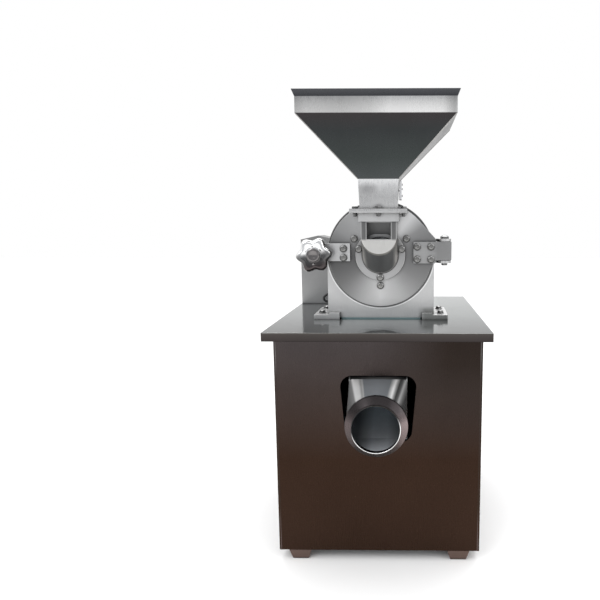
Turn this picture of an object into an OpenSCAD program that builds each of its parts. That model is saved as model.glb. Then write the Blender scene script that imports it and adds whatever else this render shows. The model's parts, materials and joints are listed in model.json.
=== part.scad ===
// Small hammer mill on a sheet-metal cabinet.
// +Z is up, -Y is the front, the origin is the middle of the footprint on the floor.

/* [Cabinet] */
// Width of the tabletop
table_w = 550; // [546:1:560]
// Depth of the tabletop
table_d = 616; // [612:1:624]
// Height of the tabletop above the floor
table_h = 612; // [608:1:616]
// Height of the folded edge of the tabletop
apron_h = 21; // [16:1:26]
// Height of the feet
foot_h = 30; // [26:1:34]
// Thickness of the cabinet sheet
sheet = 2; // [1.5:0.5:2.5]

/* [Mill] */
// Height of the rotor axis above the tabletop
axis_h = 174.5; // [172:0.5:178]
// Outer radius of the round housing
housing_r = 144; // [143:0.5:145]
// Radius of the grinding chamber
chamber_r = 126; // [124:1:128]
// Radius of the door
door_r = 137.5; // [136:0.5:138]
// Radius of the feed opening in the door
inlet_r = 48; // [46:1:49]
// Radius of the bolts
bolt_r = 5; // [4:0.5:5.5]

/* [Rotor] */
// Radius of the circle of hammer pins
pin_circle_r = 62; // [61:0.5:63]
// Length of a hammer from its pin to its tip
hammer_l = 38; // [34:1:39]
// Radius of the mill pulley
mill_pulley_r = 50; // [46:1:52]
// Radius of the motor pulley
motor_pulley_r = 78; // [72:1:80]

/* [Hopper] */
// Width of the hopper at the top of its slope
hopper_w = 370; // [350:2:376]
// Depth of the hopper at the top of its slope
hopper_d = 195; // [185:1:200]
// Overall height of the machine
total_h = 1169; // [1164:1:1174]

/* [Outlet] */
// Radius of the discharge mouth
mouth_r = 56; // [54:0.5:57]
// Height of the middle of the mouth above the floor
mouth_z = 400; // [398:1:402]
// Reach of the mouth in front of the tabletop
outlet_reach = 60; // [56:1:64]

/* [Hidden] */
$fn = 48;

// Clearance of a shaft or pin in its bore, and the gap between parts that move apart
fit = 0.05;
gap = 0.35;
hole_gap = 0.3;
// A cut reaches this far past the face that it goes through
cut = 1;

// Cabinet: front and back faces, and half widths
half_depth = (table_d + outlet_reach) / 2;
table_front = outlet_reach - half_depth;
table_back = half_depth;
overhang_front = 42;
overhang_side = 17;
cab_front = table_front + overhang_front;
cab_back = table_back - overhang_front;
cab_x = table_w / 2 - overhang_side;
cab_top = table_h - sheet;
angle_w = 30;
angle_t = 3;
foot_x = 205;
foot_half = 29;
sole_half = 21;

// Mill: the rotor axis, and the faces along Y
mill_z = table_h + axis_h;
mill_front = table_front + 184;
mill_back = mill_front + 100;
gasket_t = 3;
mill_base = table_h + gasket_t;
seal_t = 1.15;
door_back = mill_front - gap - seal_t;
door_front = door_back - 13;
ring_front = door_front - 8;
passage_x = 62;
passage_front = mill_front + 10;
passage_back = mill_back - 14;
rear_wall_t = 10;

// Bolts on the door: circles of the ring bolts and of the outer bolts
ring_bolt_r = 59;
ring_bolt_angles = [16, 164, 270];
outer_bolt_r = 81.5;
outer_bolt_angles = [32, 148, 270];
strap_bolt_x = [97.6, 134];
strap_bolt_z = [-10.8, 22.5];
clamp_bolt_z = [-6.5, 17.5];
clamp_bolt_x = -97;

// Hinge pin and clamp stud
hinge_x = 171;
hinge_y = mill_front - 6;
hinge_pin_r = 8;
strap_low = mill_z - 21.5;
strap_high = mill_z + 35.5;
strap_front = door_front - 10;
arm_low = strap_low + 8;
stud_x = -169;
stud_z = mill_z + 2.5;
stud_r = 6;
bracket_left = -193;
bracket_right = -80;
bracket_low = mill_z - 15.5;
bracket_high = mill_z + 31.5;
lug_right = -130;
knob_back = door_front - 30;

// Feed throat, collar, flanges and neck
throat_front = mill_front - 84;
throat_z = mill_z + 51.5;
throat_r = 45;
throat_top = mill_z + 87.5;
collar_top = throat_top + 21;
flange_t = 5;
neck_x = 47;
neck_front = mill_front - 89;
neck_back = mill_front - 19;
neck_low = collar_top + 2 * flange_t;
neck_high = neck_low + 73;
neck_spread = 3;
flange_x = 71;
flange_front = neck_front - 19;
flange_back = mill_front - 16;
flange_bolts_at = [[-62, -148], [62, -148], [0, flange_front + 9]];

// Hopper
slope_top = neck_high + 140;
band_top = total_h - 15;
hopper_y = (neck_front + neck_back) / 2 - 15;
lip_flare = 6;

// Feed gate: a sliding plate that is pulled out to the right
gate_z = neck_low + 47;
gate_t = 2;

// Rotor: faces along Y
shaft_front = mill_front + 10;
disc_t = 8;
disc_r = 78;
disc_y = [mill_front + 18, mill_front + 70];
shaft_r = 15;
journal_r = 17.5;
tail_r = 14;
hammer_pin_r = 6;
hammer_y = [mill_front + 34, mill_front + 54];
hammer_t = 10;
hammer_w = 24;
pulley_front = 166;
pulley_w = 46;
pulley_back = pulley_front + pulley_w;
shaft_back = pulley_back + 3;
belt_pitch = 14;
belt_w = 9;
belt_t = 8;
groove_depth = 10;

// Bearing housing
bearing_r = 36;
bearing_t = 21;
tube_r = 45;
tube_back = 156;
flange_r = 70;
bearing_flange_t = 12;
bearing_bolt_r = 58;
bearing_y = [20, tube_back - bearing_t - 2];

// Motor
motor_z = 200;
motor_r = 88;
motor_front = -130;
motor_back = 90;
bell_t = 13;
motor_shaft_r = 14;
motor_bolt_x = 95;
motor_foot_t = 12;
motor_bolt_y = [-80, 50];
rail_low = foot_h + angle_w;
rail_high = rail_low + 32;

// Control box
box_left = -272;
box_right = -160;
box_front = 163;
box_back = 283;
box_top = table_h + 209;
ridge_h = 13;
supply_y = box_back - 40;
button_x = -228;
button_z = [table_h + 177, table_h + 137];
button_r = 11;

// Cable from the control box through the tabletop to the motor
cable_r = 3.5;
gland_x = -172;
gland_z = table_h + 38;
grommet = [-166, 136];
grommet_r = 8;
cable_route = [
    [-172, 151, 650], [-173, 145, 650], [-178, 138, 649], [-186, 133, 646], [-193, 131, 641],
    [-195, 130, 635], [-193, 130, 629], [-186, 131, 625], [-177, 133, 624], [-170, 135, 621],
    [-166, 136, 614], [-166, 136, 604], [-166, 136, 574], [-165, 128, 524], [-158, 108, 463],
    [-146, 76, 402], [-132, 42, 351], [-120, 16, 318], [-115, 6, 304], [-114, 5, 296]
];

// ---- helpers -------------------------------------------------------------------------------

// Box between two corners
module box(x0, x1, y0, y1, z0, z1) {
    translate([x0, y0, z0]) cube([x1 - x0, y1 - y0, z1 - z0]);
}

// Cylinder along Y at (x, z)
module y_cyl(x, z, y0, y1, r) {
    translate([x, y1, z]) rotate([90, 0, 0]) cylinder(h = y1 - y0, r = r);
}

// Cylinder along Z at (x, y)
module z_cyl(x, y, z0, z1, r) {
    translate([x, y, z0]) cylinder(h = z1 - z0, r = r);
}

// Outline in X and Z, extruded along Y
module y_plate(y0, y1) {
    translate([0, y1, 0]) rotate([90, 0, 0]) linear_extrude(y1 - y0) children();
}

// Outline in Y and Z, extruded along X
module x_plate(x0, x1) {
    translate([x0, 0, 0]) rotate([90, 0, 90]) linear_extrude(x1 - x0) children();
}

// Profile of radius and distance towards the front, turned about the Y axis at (x, z)
module y_turned(x, z, y) {
    translate([x, y, z]) rotate([90, 0, 0]) rotate_extrude() children();
}

module both_sides() {
    children();
    mirror([1, 0, 0]) children();
}

// Hexagon bolt with washer; the head points to -Z and the shank to +Z
module hex_bolt(shank, r = bolt_r) {
    washer_t = 1.5;
    head_t = 1.3 * r;
    head_r = 1.8 * r;
    translate([0, 0, -washer_t]) cylinder(h = washer_t, r = 2 * r);
    translate([0, 0, -washer_t - head_t]) cylinder(h = head_t, r = head_r, $fn = 6);
    cylinder(h = shank, r = r);
}

module bolt_to_back(x, y, z, shank) {
    translate([x, y, z]) rotate([-90, 0, 0]) hex_bolt(shank);
}

module bolt_to_front(x, y, z, shank) {
    translate([x, y, z]) rotate([90, 0, 0]) hex_bolt(shank);
}

module bolt_down(x, y, z, shank) {
    translate([x, y, z]) rotate([180, 0, 0]) hex_bolt(shank);
}

// Holes for bolts on a circle of the door
module door_holes(circle_r, angles, y0, y1) {
    for (a = angles) {
        y_cyl(circle_r * cos(a), mill_z + circle_r * sin(a), y0, y1, bolt_r + hole_gap);
    }
}

// Tube of round rings along a list of points
module swept_tube(route, r, sides) {
    last = len(route) - 1;
    function ahead(i) = route[min(i + 1, last)] - route[max(i - 1, 0)];
    function unit(v) = v / norm(v);
    function side(i) = unit(cross(ahead(i), [0.31, 0.94, 0.13]));
    function across(i) = unit(cross(ahead(i), side(i)));
    points = [
        for (i = [0:last], k = [0:sides - 1])
            route[i] + r * (cos(360 * k / sides) * side(i) + sin(360 * k / sides) * across(i))
    ];
    walls = [
        for (i = [0:last - 1], k = [0:sides - 1])
            [i * sides + k, i * sides + (k + 1) % sides,
             (i + 1) * sides + (k + 1) % sides, (i + 1) * sides + k]
    ];
    first_cap = [for (k = [0:sides - 1]) sides - 1 - k];
    last_cap = [for (k = [0:sides - 1]) last * sides + k];
    polyhedron(points = points, faces = concat([first_cap], walls, [last_cap]));
}

// ---- cabinet -------------------------------------------------------------------------------

// Angle bar along X; the flange stands on the side that dy and dz point away from
module angle_x(y, z, dy, dz) {
    x = cab_x - sheet - angle_w - gap;
    box(-x, x, min(y, y + dy * angle_t), max(y, y + dy * angle_t),
        min(z, z + dz * angle_w), max(z, z + dz * angle_w));
    box(-x, x, min(y, y + dy * angle_w), max(y, y + dy * angle_w),
        min(z, z + dz * angle_t), max(z, z + dz * angle_t));
}

// Angle bar along Y at the right side
module angle_y(z, dz) {
    x = cab_x - sheet;
    y0 = cab_front + sheet + angle_w + gap;
    y1 = cab_back - sheet - angle_w - gap;
    box(x - angle_t, x, y0, y1, min(z, z + dz * angle_w), max(z, z + dz * angle_w));
    box(x - angle_w, x, y0, y1, min(z, z + dz * angle_t), max(z, z + dz * angle_t));
}

module cabinet_frame() {
    front = cab_front + sheet;
    back = cab_back - sheet;
    x = cab_x - sheet;
    color("dimgray") {
        both_sides() {
            box(x - angle_w, x, front, front + angle_t, foot_h, cab_top);
            box(x - angle_t, x, front, front + angle_w, foot_h, cab_top);
            box(x - angle_w, x, back - angle_t, back, foot_h, cab_top);
            box(x - angle_t, x, back - angle_w, back, foot_h, cab_top);
            angle_y(foot_h, 1);
            angle_y(cab_top, -1);
        }
        angle_x(front, foot_h, 1, 1);
        angle_x(front, cab_top, 1, -1);
        angle_x(back, foot_h, -1, 1);
        angle_x(back, cab_top, -1, -1);
    }
}

module foot(x, y) {
    outline = [[-sole_half, 0], [sole_half, 0], [foot_half, foot_h], [-foot_half, foot_h]];
    translate([x, y, 0]) intersection() {
        y_plate(-foot_half, foot_half) polygon(outline);
        x_plate(-foot_half, foot_half) polygon(outline);
    }
}

module feet() {
    color("sienna") both_sides() {
        foot(foot_x, cab_front + foot_half);
        foot(foot_x, cab_back - foot_half);
    }
}

// Opening round the discharge chute, wider at the top
module cutout_outline() {
    top_r = 28;
    low_r = 30;
    top_x = 94;
    low_x = 84;
    hull() {
        for (side = [-1, 1]) {
            translate([side * (top_x - top_r), mouth_z + 95 - top_r]) circle(r = top_r);
            translate([side * (low_x - low_r), mouth_z - 76 + low_r]) circle(r = low_r);
        }
    }
}

module front_panel() {
    color("#4a3a32") y_plate(cab_front, cab_front + sheet) difference() {
        translate([-cab_x, foot_h]) square([2 * cab_x, cab_top - foot_h]);
        cutout_outline();
    }
}

module right_side_panel() {
    color("#4a3a32")
        box(cab_x - sheet, cab_x, cab_front + sheet, cab_back - sheet, foot_h, cab_top);
}

module left_side_panel() {
    mirror([1, 0, 0]) right_side_panel();
}

module rear_panel() {
    slot_l = 110;
    slot_h = 5;
    slot_x = 95;
    rows = 8;
    pitch = 16;
    first_row = 360;
    color("#4a3a32") y_plate(cab_back - sheet, cab_back) difference() {
        translate([-cab_x, foot_h]) square([2 * cab_x, cab_top - foot_h]);
        for (side = [-1, 1], row = [0:rows - 1]) {
            translate([side * slot_x - slot_l / 2, first_row + pitch * row])
                square([slot_l, slot_h]);
        }
    }
}

module table_top() {
    x = table_w / 2;
    slot_x = passage_x + 4;
    color("#8d9490") difference() {
        box(-x, x, table_front, table_back, table_h - apron_h, table_h);
        box(-x + sheet, x - sheet, table_front + sheet, table_back - sheet,
            table_h - apron_h - cut, cab_top);
        box(-slot_x, slot_x, passage_front - 4, passage_back + 6, cab_top - cut, table_h + cut);
        box(-slot_x, slot_x, pulley_front - 2, pulley_back + 2, cab_top - cut, table_h + cut);
        z_cyl(grommet[0], grommet[1], cab_top - cut, table_h + cut, grommet_r);
        both_sides() for (y = hold_down_y) {
            z_cyl(hold_down_x, y, cab_top - cut, table_h + cut, bolt_r + hole_gap);
        }
    }
}

// ---- housing -------------------------------------------------------------------------------

hold_down_x = 163;
hold_down_y = [mill_front + 16, mill_front + 90];
block_t = 18;

module housing_outline() {
    translate([0, mill_z]) circle(r = housing_r, $fn = 96);
    translate([-housing_r, mill_base]) square([2 * housing_r, mill_z - mill_base]);
}

module base_gasket() {
    x = 108;
    color("#4d7f86") difference() {
        box(-x, x, mill_front - 2, mill_back + 2, table_h, mill_base);
        box(-passage_x, passage_x, passage_front, passage_back, table_h - cut, mill_base + cut);
    }
}

module mill_housing() {
    color("#b9bcbe") difference() {
        y_plate(mill_front, mill_back) housing_outline();
        y_cyl(0, mill_z, mill_front - cut, mill_back - rear_wall_t, chamber_r);
        box(-passage_x, passage_x, passage_front, passage_back, mill_base - cut, mill_z - chamber_r * 0.8);
        y_cyl(0, mill_z, mill_front, mill_back + cut, journal_r + 6);
        for (a = [45:90:315]) {
            y_cyl(bearing_bolt_r * cos(a), mill_z + bearing_bolt_r * sin(a),
                  mill_back - rear_wall_t - cut, mill_back + cut, bolt_r + hole_gap);
        }
    }
}

// Foot blocks beside the housing, with a wider step at the front
module mill_feet() {
    inner_x = 111.5;
    outer_x = 181;
    step_x = 140;
    step_t = 5;
    front = mill_front - 16;
    back = mill_back + 14;
    color("#c9cccd") both_sides() difference() {
        union() {
            box(inner_x, outer_x, front, mill_front, table_h, table_h + block_t);
            box(housing_r, outer_x, mill_front, back, table_h, table_h + block_t);
        }
        box(step_x, outer_x + cut, front - cut, back + cut,
            table_h + block_t - step_t, table_h + block_t + cut);
        for (y = hold_down_y) {
            z_cyl(hold_down_x, y, table_h - cut, table_h + block_t + cut, bolt_r + hole_gap);
        }
    }
}

module hold_down_bolts() {
    seat = table_h + block_t - 5;
    color("silver") both_sides() for (y = hold_down_y) {
        bolt_down(hold_down_x, y, seat, seat - cab_top + 12);
    }
}

// Perforated ring round the hammers
module screen_ring() {
    outer_r = chamber_r - 5;
    inner_r = outer_r - 2.5;
    slots = 24;
    front = mill_front + 1;
    back = mill_back - rear_wall_t;
    color("silver") difference() {
        y_cyl(0, mill_z, front, back, outer_r);
        y_cyl(0, mill_z, front - cut, back + cut, inner_r);
        for (i = [0:slots - 1]) {
            translate([0, 0, mill_z]) rotate([0, i * 360 / slots, 0])
                box(-2, 2, front + 8, back - 8, inner_r - 8, outer_r + 8);
        }
    }
}

module hinge_bracket() {
    web_top = strap_high + 8;
    web_x = [130, 147];
    lug_t = 7.6;
    lug_r = 17;
    front = mill_front + 0.5;
    back = hinge_y + 40;
    lug = [
        [web_x[0], front], [web_x[1] + 3, front], [web_x[1] + 7, hinge_y],
        [hinge_x + lug_r, hinge_y], [hinge_x + lug_r, back], [web_x[0], back]
    ];
    color("#b9bcbe") difference() {
        union() {
            box(web_x[0], web_x[1], front, front + 43.5, strap_low, web_top);
            for (z = [strap_low, strap_high + 0.4]) {
                translate([0, 0, z]) linear_extrude(lug_t) {
                    polygon(lug);
                    translate([hinge_x, hinge_y]) circle(r = lug_r);
                }
            }
        }
        y_plate(mill_front - 30, mill_front + 60) housing_outline();
        z_cyl(hinge_x, hinge_y, strap_low - cut, web_top + cut, hinge_pin_r + fit);
    }
}

module hinge_pin() {
    head_z = strap_high + 8;
    head_r = 11.5;
    head_t = 5;
    dome_r = 17;
    color("gainsboro") {
        z_cyl(hinge_x, hinge_y, strap_low - 6, head_z, hinge_pin_r);
        z_cyl(hinge_x, hinge_y, head_z, head_z + head_t, head_r);
        translate([hinge_x, hinge_y, head_z + head_t]) rotate_extrude() intersection() {
            translate([0, 5 - dome_r]) circle(r = dome_r);
            square([head_r, head_t + 1]);
        }
    }
}

// Open-ended lug that the clamp stud lies in
module clamp_lug() {
    slot_r = stud_r + 3.5;
    back = mill_front + 22;
    half_h = 20;
    color("#b9bcbe") difference() {
        box(bracket_left, lug_right, mill_front, back, stud_z - half_h, stud_z + half_h);
        y_plate(mill_front - cut, back + cut) housing_outline();
        y_cyl(stud_x, stud_z, mill_front - cut, back + cut, slot_r);
        box(bracket_left - cut, stud_x, mill_front - cut, back + cut, stud_z - slot_r, stud_z + slot_r);
    }
}

// ---- discharge -----------------------------------------------------------------------------

chute_x = 72;
chute_end = cab_front - 4;
pipe_front = table_front - outlet_reach + 20;
chute_low = mouth_z - 66;
chute_high = mouth_z + 88;
sleeve_l = 5;
roof_bend_y = -130;
roof_bend_z = mouth_z + 116;
roof_back_z = mouth_z + 144;

// Side view of the duct; w is the distance inside the outer face
function duct_side(w, over) = [
    [passage_front - 8 + w, cab_top + over], [passage_back + 12 - w, cab_top + over],
    [passage_back + 12 - w, mouth_z + 34 + w], [chute_end - over, chute_low + w],
    [chute_end - over, chute_high - w], [roof_bend_y + w / 4, roof_bend_z - w],
    [passage_front - 8 + w, roof_back_z]
];

// Rounded rectangle that blends into the round pipe; w is the distance inside the outer face
module transition(w, over) {
    corner_r = 10;
    hull() {
        for (side = [-1, 1], z = [chute_low + corner_r, chute_high - corner_r]) {
            y_cyl(side * (chute_x - corner_r), z, chute_end - 1, chute_end + over, corner_r - w);
        }
        y_cyl(0, mouth_z, pipe_front + sleeve_l, pipe_front + sleeve_l + 1, chute_x - w);
    }
    y_cyl(0, mouth_z, pipe_front - over, pipe_front + sleeve_l + 0.5, chute_x - w);
}

module discharge_chute() {
    flange_x = chute_x + 13;
    color("#aeb0b2") difference() {
        union() {
            x_plate(-chute_x, chute_x) polygon(duct_side(0, 0));
            box(-flange_x, flange_x, passage_front - 20, passage_back + 24, cab_top - 3, cab_top);
            transition(0, 0);
        }
        x_plate(-chute_x + sheet, chute_x - sheet) polygon(duct_side(sheet, 0.5));
        transition(sheet, 0.5);
    }
}

module outlet_collar() {
    back_r = chute_x + 2;
    lip_r = mouth_r + 2;
    color("#8a807c") y_turned(0, mouth_z, pipe_front) polygon([
        [chute_x, -sleeve_l], [back_r, -sleeve_l], [back_r, 2], [lip_r, 16], [lip_r, 20],
        [mouth_r, 20], [mouth_r, 8], [chute_x - sheet, 0], [chute_x, 0]
    ]);
}

// ---- bearings and drive --------------------------------------------------------------------

module bearing_housing() {
    bore_r = journal_r + 6;
    leg_x = 32;
    pad_x = 60;
    leg_y = [70, 120];
    flange_back = mill_back + bearing_flange_t;
    color("#8f9598") difference() {
        union() {
            y_cyl(0, mill_z, mill_back, flange_back, flange_r);
            y_cyl(0, mill_z, flange_back, tube_back, tube_r);
            box(-leg_x, leg_x, leg_y[0], leg_y[1], table_h, mill_z - leg_x);
            box(-pad_x, pad_x, leg_y[0] - 10, leg_y[1] + 10, table_h, table_h + 12);
        }
        y_cyl(0, mill_z, mill_back - cut, flange_back + 2 + cut, bore_r);
        y_cyl(0, mill_z, flange_back + 2, tube_back + cut, bearing_r);
        for (a = [45:90:315]) {
            y_cyl(bearing_bolt_r * cos(a), mill_z + bearing_bolt_r * sin(a),
                  mill_back - cut, flange_back + cut, bolt_r + hole_gap);
        }
    }
}

module shaft_bearings() {
    groove = 2;
    inner = journal_r + fit;
    color("silver") for (y = bearing_y) {
        y_turned(0, mill_z, y + bearing_t) polygon([
            [inner, 0], [inner + 4, 0], [inner + 5, groove], [bearing_r - 5, groove],
            [bearing_r - 4, 0], [bearing_r, 0], [bearing_r, bearing_t], [bearing_r - 4, bearing_t],
            [bearing_r - 5, bearing_t - groove], [inner + 5, bearing_t - groove],
            [inner + 4, bearing_t], [inner, bearing_t]
        ]);
    }
}

module bearing_cover() {
    color("#8f9598") difference() {
        y_cyl(0, mill_z, tube_back, tube_back + 3.5, tube_r - 1);
        y_cyl(0, mill_z, tube_back - cut, tube_back + 5, journal_r + 1);
    }
}

// Bolts of the bearing flange and of the motor
module drive_bolts() {
    color("silver") {
        for (a = [45:90:315]) {
            bolt_to_front(bearing_bolt_r * cos(a), mill_back + bearing_flange_t,
                          mill_z + bearing_bolt_r * sin(a), bearing_flange_t + rear_wall_t);
        }
        both_sides() for (y = motor_bolt_y) {
            bolt_down(motor_bolt_x, y, rail_high + motor_foot_t, 2 * motor_foot_t);
        }
    }
}

module guard_outline(r) {
    translate([0, mill_z]) circle(r = r);
    translate([-r, table_h]) square([2 * r, mill_z - table_h]);
}

module belt_guard() {
    outer = 71;
    front = 160.5;
    back = 222;
    color("#a7aaac") difference() {
        y_plate(front, back) guard_outline(outer);
        y_plate(front + sheet, back - sheet) intersection() {
            translate([-outer, table_h - cut]) square([2 * outer, outer * 4]);
            union() {
                guard_outline(outer - sheet);
                translate([-outer + sheet, table_h - cut]) square([2 * (outer - sheet), 10]);
            }
        }
        y_cyl(0, mill_z, front - cut, front + sheet + cut, tube_r + 1);
    }
}

module v_belts() {
    color("#202022") for (i = [-1, 0, 1]) {
        y = (pulley_front + pulley_back) / 2 + i * belt_pitch;
        y_plate(y - belt_w / 2, y + belt_w / 2) difference() {
            hull() {
                translate([0, mill_z]) circle(r = mill_pulley_r - 1);
                translate([0, motor_z]) circle(r = motor_pulley_r - 1);
            }
            hull() {
                translate([0, mill_z]) circle(r = mill_pulley_r - 1 - belt_t);
                translate([0, motor_z]) circle(r = motor_pulley_r - 1 - belt_t);
            }
        }
    }
}

// Grooved pulley about the Y axis
module pulley(z, r, bore) {
    lip = belt_w / 2 + 0.6;
    mid = pulley_w / 2;
    floor_r = r - 1 - belt_t - 0.6;
    color("#5c6063") y_turned(0, z, pulley_back) polygon(concat(
        [[bore, 0], [r, 0]],
        [for (i = [-1, 0, 1]) each [
            [r, mid + i * belt_pitch - lip], [floor_r, mid + i * belt_pitch - lip],
            [floor_r, mid + i * belt_pitch + lip], [r, mid + i * belt_pitch + lip]
        ]],
        [[r, pulley_w], [bore, pulley_w]]
    ));
}

module mill_pulley() {
    pulley(mill_z, mill_pulley_r, tail_r + fit);
}

module motor_pulley() {
    pulley(motor_z, motor_pulley_r, motor_shaft_r + fit);
}

// ---- rotor ---------------------------------------------------------------------------------

module rotor_shaft() {
    color("gainsboro") {
        y_cyl(0, mill_z, shaft_front, mill_back - rear_wall_t, shaft_r);
        y_cyl(0, mill_z, mill_back - rear_wall_t, pulley_front - 4, journal_r);
        y_cyl(0, mill_z, pulley_front - 4, shaft_back, tail_r);
    }
}

module at_pins() {
    for (i = [0:3]) {
        a = 45 + 90 * i;
        translate([pin_circle_r * cos(a), 0, mill_z + pin_circle_r * sin(a)]) children();
    }
}

module rotor_discs() {
    hub_r = 18;
    color("#9b9fa2") difference() {
        union() {
            for (y = disc_y) y_cyl(0, mill_z, y, y + disc_t, disc_r);
            y_cyl(0, mill_z, disc_y[0] + disc_t, disc_y[1], hub_r);
        }
        y_cyl(0, mill_z, disc_y[0] - cut, disc_y[1] + disc_t + cut, shaft_r + fit);
        at_pins() y_cyl(0, 0, disc_y[0] - cut, disc_y[1] + disc_t + cut, hammer_pin_r + fit);
    }
}

// Pins with heads, and the sleeves that keep the hammers apart
module hammer_pins() {
    sleeve_r = 10;
    y0 = disc_y[0];
    y1 = disc_y[1] + disc_t;
    color("silver") at_pins() {
        y_cyl(0, 0, y0 - 3, y1 + 3, hammer_pin_r);
        y_cyl(0, 0, y0 - 3, y0, hammer_pin_r + 3);
        y_cyl(0, 0, y1, y1 + 3, hammer_pin_r + 3);
        y_cyl(0, 0, y0 + disc_t, hammer_y[0] - hammer_t / 2 - gap, sleeve_r);
        y_cyl(0, 0, hammer_y[0] + hammer_t / 2 + gap, hammer_y[1] - hammer_t / 2 - gap, sleeve_r);
        y_cyl(0, 0, hammer_y[1] + hammer_t / 2 + gap, disc_y[1], sleeve_r);
    }
}

// Two hammers that hang from one pin
module hammers(i) {
    a = 45 + 90 * i;
    x = pin_circle_r * cos(a);
    z = mill_z + pin_circle_r * sin(a);
    color("#6f7376") for (y = hammer_y) {
        y_plate(y - hammer_t / 2, y + hammer_t / 2) difference() {
            union() {
                translate([x, z]) circle(r = hammer_w / 2);
                translate([x - hammer_w / 2, z - hammer_l]) square([hammer_w, hammer_l]);
            }
            translate([x, z]) circle(r = hammer_pin_r + fit);
        }
    }
}

module hammers_1() {
    hammers(0);
}

module hammers_2() {
    hammers(1);
}

module hammers_3() {
    hammers(2);
}

module hammers_4() {
    hammers(3);
}

// ---- motor ---------------------------------------------------------------------------------

module motor_body() {
    fins = 28;
    fin_t = 3;
    fin_r = motor_r + 7;
    foot_y = [-105, 75];
    foot_in = 60;
    foot_out = 115;
    web_out = 75;
    web_top = motor_z - 40;
    color("#5d7a86") difference() {
        union() {
            y_cyl(0, motor_z, motor_front, motor_back, motor_r);
            for (i = [0:fins - 1]) {
                translate([0, 0, motor_z]) rotate([0, (i + 0.5) * 360 / fins, 0])
                    box(-fin_t / 2, fin_t / 2, motor_front + 8, motor_back - 8, motor_r - 4, fin_r);
            }
            both_sides() {
                box(foot_in, foot_out, foot_y[0], foot_y[1], rail_high, rail_high + motor_foot_t);
                box(foot_in, web_out, foot_y[0], foot_y[1], rail_high, web_top);
            }
        }
        y_cyl(0, motor_z, motor_front - cut, motor_back + cut, motor_shaft_r + 3);
        both_sides() for (y = motor_bolt_y) {
            z_cyl(motor_bolt_x, y, rail_high - cut, rail_high + motor_foot_t + cut, bolt_r + hole_gap);
        }
    }
}

module motor_end_bells() {
    color("#5d7a86") for (y = [motor_front - bell_t, motor_back]) difference() {
        y_cyl(0, motor_z, y, y + bell_t, motor_r + 3);
        y_cyl(0, motor_z, y - cut, y + bell_t + cut, motor_shaft_r + fit);
    }
}

module fan_cowl() {
    back = motor_front - bell_t;
    front = back - 40;
    cowl_r = motor_r + 5;
    hole_r = 3.2;
    color("#5d7a86") difference() {
        y_cyl(0, motor_z, front, back, cowl_r);
        y_cyl(0, motor_z, front + sheet, back + cut, cowl_r - sheet);
        for (r = [24:16:72]) {
            for (a = [0:30:330]) {
                y_cyl(r * cos(a), motor_z + r * sin(a), front - cut, front + sheet + cut, hole_r);
            }
        }
    }
}

module terminal_box() {
    wall = 2;
    left = -140;
    front = -35;
    back = 45;
    top = motor_z + 96;
    entry = cable_route[len(cable_route) - 1];
    color("#5d7a86") difference() {
        box(left, left / 2, front, back, motor_z + 30, top);
        y_cyl(0, motor_z, front - cut, back + cut, motor_r + 7.1);
        box(left + wall, -96, front + wall, back - wall, motor_z + 36, top - 2 * wall);
        z_cyl(entry[0], entry[1], top - 6, top + cut, cable_r + 0.5);
    }
}

module motor_rails() {
    x = cab_x - sheet;
    half_w = 20;
    wall = 4;
    color("dimgray") for (y = motor_bolt_y) difference() {
        box(-x, x, y - half_w, y + half_w, rail_low, rail_high);
        box(-x - cut, x + cut, y - half_w + wall, y + half_w - wall, rail_low - cut, rail_high - wall);
        both_sides() z_cyl(motor_bolt_x, y, rail_high - 5, rail_high + cut, bolt_r + hole_gap);
    }
}

module motor_shaft() {
    color("gainsboro")
        y_cyl(0, motor_z, motor_front - bell_t - 30, shaft_back, motor_shaft_r);
}

module motor_fan() {
    front = motor_front - bell_t - 26;
    back = front + 18;
    blades = 8;
    hub_r = 24;
    fan_r = 70;
    color("#303437") difference() {
        union() {
            y_cyl(0, motor_z, front, back, hub_r);
            y_cyl(0, motor_z, back - 3, back, fan_r);
            for (i = [0:blades - 1]) {
                translate([0, 0, motor_z]) rotate([0, i * 360 / blades, 0])
                    box(-1.5, 1.5, front, back, hub_r - 4, fan_r);
            }
        }
        y_cyl(0, motor_z, front - cut, back + cut, motor_shaft_r + fit);
    }
}

// ---- control box ---------------------------------------------------------------------------

module control_box() {
    mid = (box_left + box_right) / 2;
    wall = 1.5;
    color("#b7babb") difference() {
        union() {
            box(box_left, box_right, box_front + sheet, box_back, table_h, box_top);
            y_plate(box_front, box_back) polygon([
                [box_left - 2, box_top], [box_right + 2, box_top], [mid, box_top + ridge_h]
            ]);
        }
        box(box_left + wall, box_right - wall, box_front, box_back - wall,
            table_h + wall, box_top - wall);
        z_cyl(mid, supply_y, table_h - cut, table_h + wall + cut, 9);
    }
}

module control_cover() {
    color("#b7babb") y_plate(box_front, box_front + sheet) difference() {
        translate([box_left, table_h]) square([box_right - box_left, box_top - table_h]);
        for (z = button_z) translate([button_x, z]) circle(r = button_r + 0.4);
        translate([gland_x, gland_z]) circle(r = 6);
    }
}

module push_button(z) {
    y_cyl(button_x, z, box_front - 8, box_front + 12, button_r);
    y_cyl(button_x, z, box_front + sheet + 0.5, box_front + sheet + 3.5, button_r + 3);
}

module start_button() {
    color("green") push_button(button_z[0]);
}

module stop_button() {
    color("red") push_button(button_z[1]);
}

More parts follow.
